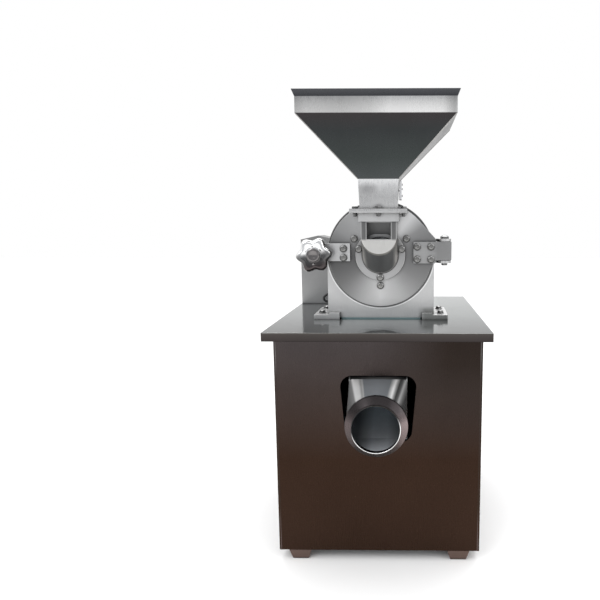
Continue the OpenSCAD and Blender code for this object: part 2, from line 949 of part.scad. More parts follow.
// Cable gland on the cover, grommet in the tabletop, and plugged gland for the supply lead
module cable_fittings() {
    mid = (box_left + box_right) / 2;
    bore = cable_r + 0.2;
    color("#1c1c1e") {
        y_turned(gland_x, gland_z, box_front + sheet + 4) polygon([
            [bore, 0], [8, 0], [8, 4], [5.9, 4], [5.9, 6], [9, 6], [9, 11], [6.5, 16], [bore, 16]
        ]);
        translate([grommet[0], grommet[1], table_h]) rotate_extrude() polygon([
            [bore, -4], [10, -4], [10, -2], [7.9, -2], [7.9, 0], [10, 0], [10, 2], [bore, 2]
        ]);
        translate([mid, supply_y, table_h]) cylinder(h = 8, r = 8.5);
    }
}

module motor_cable() {
    color("#1c1c1e") swept_tube(cable_route, cable_r, 10);
}

// ---- door ----------------------------------------------------------------------------------

module door_plate() {
    ear = [[102.2, 92], [148, 42.1], [148, -12], [130, -42], [0, 0]];
    color("#a9acae") difference() {
        union() {
            y_cyl(0, mill_z, door_front, door_back, door_r);
            y_plate(door_front, door_back) translate([0, mill_z]) polygon(ear);
        }
        y_cyl(0, mill_z, door_front - cut, door_back + cut, inlet_r + 2);
        door_holes(ring_bolt_r, ring_bolt_angles, door_front - cut, door_back + cut);
        door_holes(outer_bolt_r, outer_bolt_angles, door_front - cut, door_back + cut);
        for (x = strap_bolt_x, z = strap_bolt_z) {
            y_cyl(x, mill_z + z, door_front - cut, door_back + cut, bolt_r + hole_gap);
        }
        for (z = clamp_bolt_z) {
            y_cyl(clamp_bolt_x, mill_z + z, door_front - cut, door_back + cut, bolt_r + hole_gap);
        }
    }
}

module door_seal() {
    color("#2a2a2c") difference() {
        y_cyl(0, mill_z, door_back, door_back + seal_t, door_r - 1.5);
        y_cyl(0, mill_z, door_back - cut, door_back + seal_t + cut, door_r - 6.5);
    }
}

module inlet_ring() {
    flange_out = 66;
    color("#b3afab") difference() {
        y_cyl(0, mill_z, ring_front, door_front, flange_out);
        y_cyl(0, mill_z, ring_front - cut, door_front + cut, inlet_r);
        door_holes(ring_bolt_r, ring_bolt_angles, ring_front - cut, door_front + cut);
    }
}

// Fixed disc on the inside of the door, with a ring of teeth
module toothed_disc() {
    plate_t = 6;
    tooth_t = 5;
    teeth = 16;
    plate_r = 105;
    tooth_half = 5;
    tooth_r = [92, 101];
    back = door_back + plate_t;
    color("#8c9093") difference() {
        union() {
            y_cyl(0, mill_z, door_back, back, plate_r);
            for (i = [0:teeth - 1]) {
                translate([0, 0, mill_z]) rotate([0, i * 360 / teeth, 0])
                    box(-tooth_half, tooth_half, back - 1, back + tooth_t, tooth_r[0], tooth_r[1]);
            }
        }
        y_cyl(0, mill_z, door_back - cut, back + tooth_t + cut, inlet_r + 2);
        door_holes(outer_bolt_r, outer_bolt_angles, door_back - cut, back + cut);
    }
}

// Bolts of the inlet ring, the toothed disc, the hinge strap and the clamp bracket
module door_bolts() {
    door_t = door_back - door_front;
    color("silver") {
        for (a = ring_bolt_angles) {
            bolt_to_back(ring_bolt_r * cos(a), ring_front, mill_z + ring_bolt_r * sin(a),
                         door_back - ring_front);
        }
        for (a = outer_bolt_angles) {
            bolt_to_back(outer_bolt_r * cos(a), door_front, mill_z + outer_bolt_r * sin(a),
                         door_t + 6);
        }
        for (x = strap_bolt_x, z = strap_bolt_z) {
            bolt_to_back(x, strap_front, mill_z + z, door_back - strap_front - 0.5);
        }
        for (z = clamp_bolt_z) {
            bolt_to_back(clamp_bolt_x, strap_front, mill_z + z, door_back - strap_front - 0.5);
        }
    }
}

module hinge_strap() {
    arm = [
        [88, strap_front], [188, strap_front], [188, hinge_y + 16], [156, hinge_y + 16],
        [150, hinge_y + 6], [150, door_front], [88, door_front]
    ];
    color("#c2c4c6") difference() {
        union() {
            box(88, 145, strap_front, door_front, strap_low, strap_high);
            translate([0, 0, arm_low]) linear_extrude(strap_high - arm_low) polygon(arm);
        }
        z_cyl(hinge_x, hinge_y, strap_low - cut, strap_high + cut, hinge_pin_r + fit);
        for (x = strap_bolt_x, z = strap_bolt_z) {
            y_cyl(x, mill_z + z, strap_front - cut, door_front + cut, bolt_r + hole_gap);
        }
    }
}

module clamp_bracket() {
    color("#c2c4c6") difference() {
        box(bracket_left, bracket_right, strap_front, door_front, bracket_low, bracket_high);
        y_cyl(stud_x, stud_z, strap_front - cut, door_front + cut, stud_r + fit);
        for (z = clamp_bolt_z) {
            y_cyl(clamp_bolt_x, mill_z + z, strap_front - cut, door_front + cut, bolt_r + hole_gap);
        }
    }
}

module star_knob() {
    lobes = 6;
    lobe_r = 11;
    knob_t = 24;
    body_r = 36;
    hub_r = 17;
    first_lobe = 6;
    front = knob_back - knob_t;
    color("silver") difference() {
        union() {
            y_plate(front, knob_back) translate([stud_x, stud_z]) {
                circle(r = body_r);
                for (i = [0:lobes - 1]) {
                    rotate(first_lobe + i * 360 / lobes) translate([body_r, 0]) circle(r = lobe_r);
                }
            }
            y_cyl(stud_x, stud_z, front - 4, front + 1, hub_r);
        }
        y_cyl(stud_x, stud_z, front + 6, knob_back + cut, stud_r + fit / 2);
    }
}

// Plain-ended stud of the knob, with a sleeve that presses on the bracket
module clamp_stud() {
    color("gainsboro") {
        y_cyl(stud_x, stud_z, knob_back - 18, mill_front + 20, stud_r);
        y_cyl(stud_x, stud_z, knob_back, strap_front - 0.5, 13);
    }
}

// ---- feed ----------------------------------------------------------------------------------

// Body of the throat; w is the distance inside the outer face
module throat_body(w, over) {
    x = throat_r - w;
    front = throat_front + w;
    hull() {
        y_cyl(0, mill_z, ring_front - 1.5, ring_front + over, 46 - w);
        intersection() {
            y_cyl(0, throat_z, front, front + 1, x);
            box(-x, x, front - 1, front + 2, throat_z - x - 1, throat_z + 1);
        }
        box(-x, x, front, front + 1, throat_z + 2, throat_top - 4);
        box(-x, x, front, ring_front - 1.5 - w, throat_top - 2, throat_top + over);
    }
}

module feed_throat() {
    wall = 2.5;
    window_x = 30.5;
    window_low = mill_z + 43.5;
    color("#c0bfbc") difference() {
        throat_body(0, 0);
        throat_body(wall, 1);
        box(-window_x, window_x, throat_front - cut, throat_front + wall + cut,
            window_low, throat_top - 2);
    }
}

module throat_collar() {
    wall = 5;
    x = 50.5;
    front = neck_front - 1;
    back = neck_back + 1;
    color("#c9cacb") difference() {
        union() {
            box(-x, x, front, back, throat_top, collar_top);
            box(-flange_x, flange_x, flange_front, flange_back, collar_top, collar_top + flange_t);
        }
        box(-x + wall, x - wall, front + wall, back - wall, throat_top - cut, neck_low);
        for (p = flange_bolts_at) {
            z_cyl(p[0], p[1], collar_top - cut, collar_top + flange_t + cut, bolt_r + hole_gap);
        }
    }
}

// Tapered box between two heights; w is the distance inside the outer face
module tapered(low, high, x0, x1, front0, back0, front1, back1, w, over) {
    skin = 0.5;
    hull() {
        box(w - x0, x0 - w, front0 + w, back0 - w, low - over, low + skin);
        box(w - x1, x1 - w, front1 + w, back1 - w, high - skin, high + over);
    }
}

module neck_body(w, over) {
    tapered(neck_low, neck_high, neck_x, neck_x + neck_spread, neck_front, neck_back,
            neck_front - neck_spread, neck_back + neck_spread, w, over);
}

module hopper_neck() {
    rail_w = 7;
    color("#c9cacb") {
        difference() {
            union() {
                neck_body(0, 0);
                box(-flange_x, flange_x, flange_front, flange_back, neck_low - flange_t, neck_low);
            }
            neck_body(sheet, 0.5);
            box(sheet - neck_x, neck_x - sheet, neck_front + sheet, neck_back - sheet,
                neck_low - flange_t - cut, neck_low + 1);
            box(neck_x - 4, neck_x + 6, neck_front + 1.6, neck_back - 1.6,
                gate_z - 0.4, gate_z + gate_t + 0.4);
            for (p = flange_bolts_at) {
                z_cyl(p[0], p[1], neck_low - flange_t - cut, neck_low + cut, bolt_r + hole_gap);
            }
        }
        for (y = [neck_front + 1, neck_back - 1 - rail_w]) {
            box(-neck_x + 1, neck_x - 2.5, y, y + rail_w, gate_z - 3.4, gate_z - 0.4);
        }
    }
}

module flange_bolts() {
    color("silver") for (p = flange_bolts_at) {
        bolt_down(p[0], p[1], neck_low, 2 * flange_t + 8);
    }
}

module hopper() {
    hx = hopper_w / 2;
    front = hopper_y - hopper_d / 2;
    back = hopper_y + hopper_d / 2;
    bx = neck_x + neck_spread;
    bf = neck_front - neck_spread;
    bb = neck_back + neck_spread;
    color("#54585a") difference() {
        union() {
            tapered(neck_high, slope_top, bx, hx, bf, bb, front, back, 0, 0);
            box(-hx, hx, front, back, slope_top, band_top);
            tapered(band_top, total_h, hx, hx + lip_flare, front, back,
                    front - lip_flare, back + lip_flare, 0, 0);
        }
        tapered(neck_high, slope_top, bx, hx, bf, bb, front, back, sheet, 0.5);
        box(-hx + sheet, hx - sheet, front + sheet, back - sheet, slope_top, band_top);
        tapered(band_top, total_h, hx, hx + lip_flare, front, back,
                front - lip_flare, back + lip_flare, sheet, 0.5);
    }
}

// Sliding plate in the neck, with a pull strip outside it
module feed_gate() {
    strip_x = neck_x + neck_spread + 1;
    strip_t = 6.5;
    color("whitesmoke") {
        box(-neck_x + 3, strip_x + 1, neck_front + 2.4, neck_back - 2.4, gate_z, gate_z + gate_t);
        box(strip_x, strip_x + strip_t, neck_front + 13, neck_back - 13, neck_low + 24, neck_low + 70);
    }
}

cabinet_frame();
feet();
front_panel();
left_side_panel();
right_side_panel();
rear_panel();
table_top();
base_gasket();
mill_housing();
mill_feet();
hold_down_bolts();
screen_ring();
discharge_chute();
outlet_collar();
hinge_bracket();
hinge_pin();
clamp_lug();
bearing_housing();
shaft_bearings();
bearing_cover();
drive_bolts();
belt_guard();
v_belts();
motor_body();
motor_end_bells();
fan_cowl();
terminal_box();
motor_rails();
control_box();
control_cover();
cable_fittings();
motor_cable();
rotor_shaft();
rotor_discs();
hammer_pins();
mill_pulley();
hammers_1();
hammers_2();
hammers_3();
hammers_4();
motor_shaft();
motor_fan();
motor_pulley();
door_plate();
door_seal();
inlet_ring();
toothed_disc();
door_bolts();
hinge_strap();
clamp_bracket();
feed_throat();
throat_collar();
hopper_neck();
flange_bolts();
hopper();
star_knob();
clamp_stud();
feed_gate();
start_button();
stop_button();
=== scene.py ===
"""Looks of a small hammer mill: materials, fasteners, knob, chute, trim and studio.

Everything is in metres, in the frame of the CAD model: +Z up, -Y the front.
"""
import json
import math

import bmesh
import bpy
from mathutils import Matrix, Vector


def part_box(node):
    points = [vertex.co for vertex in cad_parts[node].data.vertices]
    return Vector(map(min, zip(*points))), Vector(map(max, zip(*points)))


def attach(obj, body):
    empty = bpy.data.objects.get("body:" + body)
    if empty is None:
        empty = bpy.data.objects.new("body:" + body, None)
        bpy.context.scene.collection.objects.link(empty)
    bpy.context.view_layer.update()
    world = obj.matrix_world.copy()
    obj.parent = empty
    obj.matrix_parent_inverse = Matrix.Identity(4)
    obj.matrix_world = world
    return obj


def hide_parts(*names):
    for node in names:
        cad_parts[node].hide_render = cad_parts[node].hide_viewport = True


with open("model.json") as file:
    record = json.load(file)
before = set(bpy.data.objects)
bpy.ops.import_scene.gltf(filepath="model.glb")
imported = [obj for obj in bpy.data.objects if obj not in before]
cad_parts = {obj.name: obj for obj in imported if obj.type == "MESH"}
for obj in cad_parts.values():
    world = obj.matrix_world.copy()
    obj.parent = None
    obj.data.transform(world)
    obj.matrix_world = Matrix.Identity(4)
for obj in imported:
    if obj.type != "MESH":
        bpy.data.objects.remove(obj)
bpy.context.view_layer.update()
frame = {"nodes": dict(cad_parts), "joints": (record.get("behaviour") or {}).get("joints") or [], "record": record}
nodes = frame["nodes"]
scene = bpy.context.scene
scene.view_settings.view_transform = "Standard"

FRONT = Vector((0, -1, 0))
BACK = Vector((0, 1, 0))
UP = Vector((0, 0, 1))


# ---- camera --------------------------------------------------------------------------------

CAMERA_PLACE = (0.0712, -1.3817, 0.8578)
CAMERA_DOWN = 0.12
CAMERA_LEFT = 0.012
LENS = 28.69
SHIFT = (-0.169, -0.0237)


def camera():
    data = bpy.data.cameras.new("camera")
    data.sensor_width = 36
    data.lens = LENS
    data.shift_x, data.shift_y = SHIFT
    obj = bpy.data.objects.new("camera", data)
    obj.location = CAMERA_PLACE
    obj.rotation_euler = (math.pi / 2 - CAMERA_DOWN, 0, CAMERA_LEFT)
    scene.collection.objects.link(obj)
    scene.camera = obj


camera()


# ---- places taken from the frame -----------------------------------------------------------

def middle(node):
    low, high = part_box(node)
    return (low + high) / 2


def joint_at(name):
    found = next(j for j in frame["joints"] if j["name"] == name)
    return Vector(found["pos_m"])


AXIS = joint_at("rotor_spin")
STUD = joint_at("knob_turn")
MOUTH_Z = middle("outlet_collar").z
MOUTH_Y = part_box("outlet_collar")[0].y
CHUTE_OUT = 0.004  # how far the square duct stands out of the front panel
CHUTE_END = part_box("front_panel")[0].y - CHUTE_OUT
TABLE_LOW, TABLE_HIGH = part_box("table_top")
TABLE_TOP = TABLE_HIGH.z
MILL_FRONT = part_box("mill_housing")[0].y
MILL_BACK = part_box("mill_housing")[1].y
THROAT_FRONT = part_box("feed_throat")[0].y
SIGHT_LOW = AXIS.z + 0.0435
NECK_LOW, NECK_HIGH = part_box("hopper_neck")
NECK_FLARE = 0.003  # how far the neck's top reaches past its foot, on each side
NECK_LOW_Y = MILL_FRONT - 0.089 - NECK_FLARE
NECK_HIGH_Y = MILL_FRONT - 0.019 + NECK_FLARE
NECK_TOP_X = 0.050
NECK_TOP_GAP = 0.024  # from the neck's top down to its grey reflection
HOPPER_LOW, HOPPER_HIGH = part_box("hopper")
SLOPE_TOP = HOPPER_LOW.z + 0.140
BAND_TOP = HOPPER_HIGH.z - 0.015
LIP_OUT = 0.006  # how far the lip stands out from the hopper's band
HOPPER_X = HOPPER_HIGH.x - LIP_OUT
HOPPER_FRONT = HOPPER_LOW.y + LIP_OUT
HOPPER_BACK = HOPPER_HIGH.y - LIP_OUT


# ---- materials -----------------------------------------------------------------------------

class Shader:
    """A Principled material that is put together node by node."""

    def __init__(self, name):
        self.name = name
        self.material = bpy.data.materials.new(name)
        self.material.use_nodes = True
        self.tree = self.material.node_tree
        self.body = self.tree.nodes["Principled BSDF"]
        self.coords = self.node("ShaderNodeTexCoord").outputs["Object"]

    def node(self, kind, **settings):
        made = self.tree.nodes.new(kind)
        for key, value in settings.items():
            setattr(made, key, value)
        return made

    def put(self, socket, value):
        if isinstance(value, bpy.types.NodeSocket):
            self.tree.links.new(value, socket)
        elif isinstance(value, tuple):
            socket.default_value = (*value, 1.0)
        else:
            socket.default_value = value

    def set(self, **values):
        for key, value in values.items():
            self.body.inputs[key.replace("_", " ")].default_value = value

    def noise(self, scale, detail=3.0, stretch=(1, 1, 1), distortion=0.0):
        mapping = self.node("ShaderNodeMapping")
        mapping.inputs["Scale"].default_value = stretch
        self.put(mapping.inputs["Vector"], self.coords)
        made = self.node("ShaderNodeTexNoise")
        made.inputs["Scale"].default_value = scale
        made.inputs["Detail"].default_value = detail
        made.inputs["Distortion"].default_value = distortion
        self.put(made.inputs["Vector"], mapping.outputs["Vector"])
        return made.outputs["Fac"]

    def ramp(self, factor, *stops):
        made = self.node("ShaderNodeValToRGB")
        elements = made.color_ramp.elements
        while len(elements) < len(stops):
            elements.new(0.5)
        for element, (place, colour) in zip(elements, stops):
            element.position = place
            element.color = (*colour, 1.0) if isinstance(colour, tuple) else (*[colour] * 3, 1.0)
        self.put(made.inputs["Fac"], factor)
        return made.outputs["Color"]

    def remap(self, value, low, high, to_low=0.0, to_high=1.0):
        made = self.node("ShaderNodeMapRange")
        for index, number in ((1, low), (2, high), (3, to_low), (4, to_high)):
            made.inputs[index].default_value = number
        self.put(made.inputs[0], value)
        return made.outputs[0]

    def mix(self, factor, first, second, blend="MIX"):
        made = self.node("ShaderNodeMix", data_type="RGBA", blend_type=blend)
        for index, value in ((0, factor), (6, first), (7, second)):
            self.put(made.inputs[index], value)
        return made.outputs[2]

    def math(self, operation, first, second=0.0):
        made = self.node("ShaderNodeMath", operation=operation)
        for socket, value in zip(made.inputs, (first, second)):
            self.put(socket, value)
        return made.outputs[0]

    def axis(self, which, centre=0.0):
        """Place along one axis, in metres from the centre."""
        made = self.node("ShaderNodeSeparateXYZ")
        self.put(made.inputs[0], self.coords)
        return self.math("SUBTRACT", made.outputs[which], centre)

    def facing(self, which):
        """How far the surface faces along one axis, from -1 to 1."""
        made = self.node("ShaderNodeSeparateXYZ")
        self.put(made.inputs[0], self.node("ShaderNodeNewGeometry").outputs["Normal"])
        return made.outputs[which]

    def outward(self):
        """How far the surface faces away from the middle plane, to either side."""
        return self.math("MULTIPLY", self.facing(0), self.math("SIGN", self.axis(0)))

    def length(self, first, second):
        total = self.math("ADD", self.math("MULTIPLY", first, first),
                          self.math("MULTIPLY", second, second))
        return self.math("SQRT", total)

    def radius(self, centre):
        """Distance from a line along Y through the centre."""
        return self.length(self.axis(0, centre.x), self.axis(2, centre.z))

    def circles(self):
        """Fine circles of turning marks about the mill's axis."""
        made = self.node("ShaderNodeTexNoise", noise_dimensions="1D")
        made.inputs["Scale"].default_value = 900.0
        made.inputs["Detail"].default_value = 2.0
        self.put(made.inputs["W"], self.radius(AXIS))
        return made.outputs["Fac"]

    def shade_in_gaps(self, distance, dark=0.30):
        """Painted shade: darkens the gaps and corners by how closed in they are."""
        made = self.node("ShaderNodeAmbientOcclusion", samples=6)
        made.inputs["Distance"].default_value = distance
        return self.ramp(made.outputs["AO"], (0.35, dark), (0.85, 1.0))

    def bump(self, height, depth, strength=0.5):
        made = self.node("ShaderNodeBump")
        made.inputs["Strength"].default_value = strength
        made.inputs["Distance"].default_value = depth
        self.put(made.inputs["Height"], height)
        self.put(self.body.inputs["Normal"], made.outputs["Normal"])


def scaled(colour, factor):
    return tuple(min(1.0, c * factor) for c in colour)


def steel(name, base, rough=(0.22, 0.34), grain=(2, 60, 60), cloud=5.0, spread=0.10, bump=0.15,
          tone=None, gap_shade_reach=0.012, metallic=1.0, turned=False):
    """Stainless sheet: fine grain, faint clouds, smudges in the gloss and painted shade in the gaps and corners.

    tone(shader) gives a colour that varies over the piece, instead of the plain base. On a
    turned piece the grain runs in circles about the mill's axis.
    """
    s = Shader(name)
    s.set(Metallic=metallic)
    clouds = s.noise(cloud, 4.0, distortion=0.6)
    lines = s.circles() if turned else s.noise(26.0, 4.0, stretch=grain)
    smudge = s.noise(13.0, 3.0, distortion=1.2)
    colour = tone(s) if tone else base
    cloudy = s.ramp(clouds, (0.3, 1 - spread), (0.7, 1.0))
    fine = s.ramp(lines, (0.3, 0.94), (0.7, 1.0))
    colour = s.mix(1.0, s.mix(1.0, colour, cloudy, "MULTIPLY"), fine, "MULTIPLY")
    # Painted shade in the gaps and corners, from ambient occlusion.
    if gap_shade_reach:
        colour = s.mix(1.0, colour, s.shade_in_gaps(gap_shade_reach), "MULTIPLY")
    s.put(s.body.inputs["Base Color"], colour)
    gloss = s.math("ADD", s.remap(lines, 0.35, 0.65, rough[0], rough[1]),
                   s.remap(smudge, 0.45, 0.7, 0.0, 0.06))
    s.put(s.body.inputs["Roughness"], gloss)
    s.bump(lines, 0.0001, bump)
    return s


def paint(name, base, rough=(0.35, 0.5), chips=None):
    """Sprayed enamel with orange peel, painted shade in its gaps and corners and, if given, chips that show
    another colour.
    """
    s = Shader(name)
    clouds = s.noise(6.0, 4.0)
    tone = s.ramp(clouds, (0.3, scaled(base, 0.85)), (0.7, scaled(base, 1.12)))
    if chips:
        spots = s.noise(38.0, 6.0, distortion=0.8)
        tone = s.mix(s.remap(spots, 0.64, 0.69), tone, chips)
    # Painted shade in the gaps and corners, from ambient occlusion.
    s.put(s.body.inputs["Base Color"], s.mix(1.0, tone, s.shade_in_gaps(0.01), "MULTIPLY"))
    s.put(s.body.inputs["Roughness"], s.remap(clouds, 0.3, 0.7, rough[0], rough[1]))
    s.bump(s.noise(320.0, 2.0), 0.00015, 0.3)
    return s


def plastic(name, base, rough=(0.3, 0.45)):
    """Plastic or rubber with a fine grain."""
    s = Shader(name)
    clouds = s.noise(14.0, 3.0)
    s.put(s.body.inputs["Base Color"],
          s.ramp(clouds, (0.3, scaled(base, 0.9)), (0.7, scaled(base, 1.15))))
    s.put(s.body.inputs["Roughness"], s.remap(clouds, 0.3, 0.7, rough[0], rough[1]))
    s.bump(s.noise(500.0, 2.0), 0.0001, 0.25)
    return s


def cast(name, base):
    """Cast iron: grainy skin with oily patches."""
    s = Shader(name)
    s.set(Metallic=0.6)
    clouds = s.noise(9.0, 5.0)
    s.put(s.body.inputs["Base Color"],
          s.ramp(clouds, (0.3, scaled(base, 0.7)), (0.7, scaled(base, 1.2))))
    s.put(s.body.inputs["Roughness"], s.remap(clouds, 0.3, 0.7, 0.42, 0.62))
    s.bump(s.noise(240.0, 4.0), 0.0005, 0.5)
    return s


def cabinet_tone(s):
    """Dark brownish sheet: browner low down, a painted grey sheen across the top that dies to the right."""
    height = s.remap(s.axis(2), 0.0, TABLE_TOP)
    # The upper stops are a painted grey sheen.
    brown = s.ramp(height, (0.05, (0.041, 0.023, 0.016)), (0.45, (0.034, 0.019, 0.013)),
                   (0.75, (0.045, 0.034, 0.031)), (0.95, (0.060, 0.051, 0.051)))
    right = s.remap(s.axis(0), -0.02, 0.17)
    high = s.remap(height, 0.5, 0.85)
    # Darker over the upper right, where the painted sheen dies away.
    return s.mix(s.math("MULTIPLY", right, high), brown, (0.027, 0.020, 0.017))


def edge_tone(s):
    """Rounded cabinet corners: painted highlights near the floor and under the tabletop, where they catch the
    light.
    """
    height = s.remap(s.axis(2), 0.0, TABLE_TOP)
    return s.ramp(height, (0.05, (0.14, 0.105, 0.10)), (0.17, (0.09, 0.066, 0.06)),
                  (0.24, (0.040, 0.028, 0.022)), (0.80, (0.045, 0.035, 0.032)),
                  (0.90, (0.13, 0.122, 0.117)), (0.96, (0.08, 0.07, 0.07)))


def table_tone(s):
    """Mirror-like top with painted reflections, lighter towards the back and in a sheen across the middle; the
    folded edge is brown-grey, darker at its foot, with a painted highlight where it is bent.
    """
    depth = s.remap(s.axis(1), TABLE_LOW.y, TABLE_HIGH.y)
    top = s.ramp(depth, (0.0, (0.125, 0.132, 0.126)), (0.18, (0.20, 0.212, 0.205)),
                 (0.35, (0.27, 0.29, 0.28)), (1.0, (0.42, 0.445, 0.43)))
    # Painted sheen, lighter across the middle of the top.
    sheen = s.ramp(s.remap(s.axis(0), -0.28, 0.28), (0.0, 0.38), (0.20, 0.40), (0.36, 1.0),
                   (0.66, 1.0), (0.82, 0.50), (1.0, 0.48))
    top = s.mix(1.0, top, s.mix(1.0, sheen, (1.8, 1.8, 1.85), "MULTIPLY"), "MULTIPLY")
    fold = s.ramp(s.remap(s.axis(2), TABLE_LOW.z, TABLE_HIGH.z),
                  (0.0, (0.022, 0.019, 0.018)), (0.10, (0.045, 0.038, 0.037)),
                  (0.75, (0.062, 0.055, 0.052)), (0.9, (0.08, 0.073, 0.068)))
    up = s.facing(2)
    # Painted highlight on the bend of the fold.
    colour = s.mix(s.remap(up, 0.15, 0.4), fold, (0.80, 0.81, 0.80))
    return s.mix(s.remap(up, 0.93, 0.995), colour, top)


def door_tone(s):
    """Face-turned steel with painted reflections: bright above and below the axis, dark to its sides, and a
    painted highlight on its rim.
    """
    x = s.axis(0, AXIS.x)
    z = s.axis(2, AXIS.z)
    sideways = s.math("DIVIDE", x, s.math("MAXIMUM", s.length(x, z), 0.001))
    across = s.remap(sideways, -1.0, 1.0)
    low = s.ramp(across, (0.0, 0.13), (0.10, 0.20), (0.28, 0.40), (0.5, 0.60), (0.72, 0.46),
                 (0.92, 0.26), (1.0, 0.20))
    high = s.ramp(across, (0.0, 0.17), (0.07, 0.34), (0.2, 0.46), (0.5, 0.50), (0.66, 0.80),
                  (0.82, 0.80), (0.92, 0.34), (1.0, 0.20))
    face = s.mix(s.remap(z, -0.02, 0.03), low, high)
    return s.mix(s.remap(s.facing(1), -0.97, -0.8), face, (0.62, 0.62, 0.61))


def ring_tone(s):
    """Spun flange with painted light: lighter in its lower part, a painted highlight on its outer edge and painted
    shade on the edge of its hole.
    """
    face = s.ramp(s.remap(s.axis(2, AXIS.z), -0.066, 0.03), (0.0, 0.47), (0.6, 0.38), (1.0, 0.34))
    radius = s.radius(AXIS)
    return s.mix(s.remap(radius, 0.0490, 0.0498), (0.12, 0.12, 0.12),
                 s.mix(s.remap(radius, 0.0650, 0.0655), face, (0.62, 0.61, 0.60)))


def housing_tone(s):
    """Plain machined front, lighter low down and darker at its lower right corner, with a painted dark gap and
    bright line round the door, and a painted bright rim where the round top turns away.
    """
    face = s.ramp(s.remap(s.axis(2, AXIS.z), -0.17, 0.145), (0.0, 0.66), (0.5, 0.58), (1.0, 0.50))
    around = s.remap(s.radius(AXIS), 0.134, 0.154)
    # Painted shade in the gap round the door, then a painted highlight on the housing's edge.
    groove = s.ramp(around, (0.36, 0.30), (0.46, 0.36), (0.50, 1.5), (0.60, 1.5), (0.66, 1.0))
    face = s.mix(1.0, face, groove, "MULTIPLY")
    right_block = s.math("MULTIPLY", s.remap(s.axis(0), 0.10, 0.12),
                         s.remap(s.axis(2), TABLE_TOP + 0.035, TABLE_TOP + 0.025))
    face = s.mix(right_block, face, (0.36, 0.365, 0.355))
    rim = s.ramp(s.remap(s.facing(0), -1.0, 1.0), (0.0, 0.30), (0.12, 0.75), (0.5, 0.85),
                 (0.9, 0.40), (1.0, 0.16))
    return s.mix(s.remap(s.facing(1), -0.9, -0.5), face, rim)


def throat_tone(s):
    """Pale front plate with painted shade on the flanks beside the sight opening, painted shade below and inside,
    and its sides painted lighter towards the back.
    """
    off = s.math("ABSOLUTE", s.axis(0))
    # Painted shade on the flanks beside the sight opening.
    flank = s.ramp(s.remap(off, 0.030, 0.045), (0.0, 0.42), (0.16, 0.30), (0.26, 0.13),
                   (0.82, 0.15), (0.93, 0.42))
    above = s.remap(s.axis(2), SIGHT_LOW - 0.004, SIGHT_LOW + 0.001)
    plate = s.mix(above, (0.56, 0.555, 0.54), flank)
    below = s.remap(s.facing(2), -0.75, 0.1)
    deep = s.remap(s.axis(1), THROAT_FRONT, THROAT_FRONT + 0.06)
    # Painted shade on faces turned down, painted light deeper in.
    sides = s.mix(below, s.mix(deep, (0.36, 0.345, 0.32), (0.95, 0.92, 0.87)),
                  (0.19, 0.186, 0.178))
    inward = s.remap(s.outward(), -0.1, -0.3)
    back_wall = s.math("MULTIPLY", s.remap(s.facing(1), -0.3, -0.5),
                       s.remap(s.axis(1), THROAT_FRONT + 0.004, THROAT_FRONT + 0.006))
    inside = s.math("MAXIMUM", inward, back_wall)
    sides = s.mix(inside, sides, (0.155, 0.155, 0.155))
    front = s.math("MULTIPLY", s.remap(s.facing(1), -0.97, -0.85, 1.0, 0.0),
                   s.remap(s.axis(1), THROAT_FRONT + 0.0003, THROAT_FRONT + 0.0012, 1.0, 0.0))
    return s.mix(front, sides, plate)


def hopper_tone(s):
    """Dark slope of painted reflection, lighter low on its sides and where it faces up; a pale band above it with
    painted reflections across it, and a dark flared lip.
    """
    up = s.remap(s.axis(2), HOPPER_LOW.z, HOPPER_HIGH.z)
    across = s.remap(s.axis(0), -0.19, 0.19)
    # Painted reflection: the front slope is dark.
    slope = s.ramp(up, (0.0, (0.060, 0.066, 0.067)), (0.25, (0.041, 0.047, 0.046)),
                   (0.55, (0.033, 0.036, 0.037)), (0.74, (0.040, 0.036, 0.037)))
    side = s.ramp(up, (0.0, 0.20), (0.3, 0.11), (0.7, 0.06))
    faces_front = s.remap(s.facing(1), -0.6, -0.8)
    colour = s.mix(faces_front, side, slope)
    colour = s.mix(s.remap(s.facing(2), 0.1, 0.3), colour, (0.34, 0.34, 0.35))
    # Painted reflections across the pale band.
    band = s.ramp(across, (0.0, 0.32), (0.08, 0.43), (0.30, 0.39), (0.46, 0.46), (0.58, 0.62),
                  (0.9, 0.60), (0.97, 0.36), (1.0, 0.50))
    seam = (SLOPE_TOP - HOPPER_LOW.z) / (HOPPER_HIGH.z - HOPPER_LOW.z)
    colour = s.mix(s.remap(up, seam - 0.004, seam + 0.004), colour, band)
    lip = (BAND_TOP - HOPPER_LOW.z) / (HOPPER_HIGH.z - HOPPER_LOW.z)
    return s.mix(s.remap(up, lip - 0.004, lip + 0.004), colour, (0.065, 0.067, 0.073))


def neck_tone(s):
    """Pale sheet, painted lightest under the hopper, with a painted soft grey reflection on its left."""
    up = s.remap(s.axis(2), NECK_LOW.z, NECK_HIGH.z)
    pale = s.ramp(up, (0.1, 0.57), (0.45, 0.53), (0.75, 0.70), (0.95, 0.95))
    # Painted soft grey reflection on the left.
    spot = s.length(s.math("MULTIPLY", s.axis(0, -0.028), 0.55),
                    s.axis(2, NECK_HIGH.z - NECK_TOP_GAP))
    return s.mix(s.remap(spot, 0.004, 0.018, 0.55, 0.0), pale, (0.25, 0.25, 0.255))


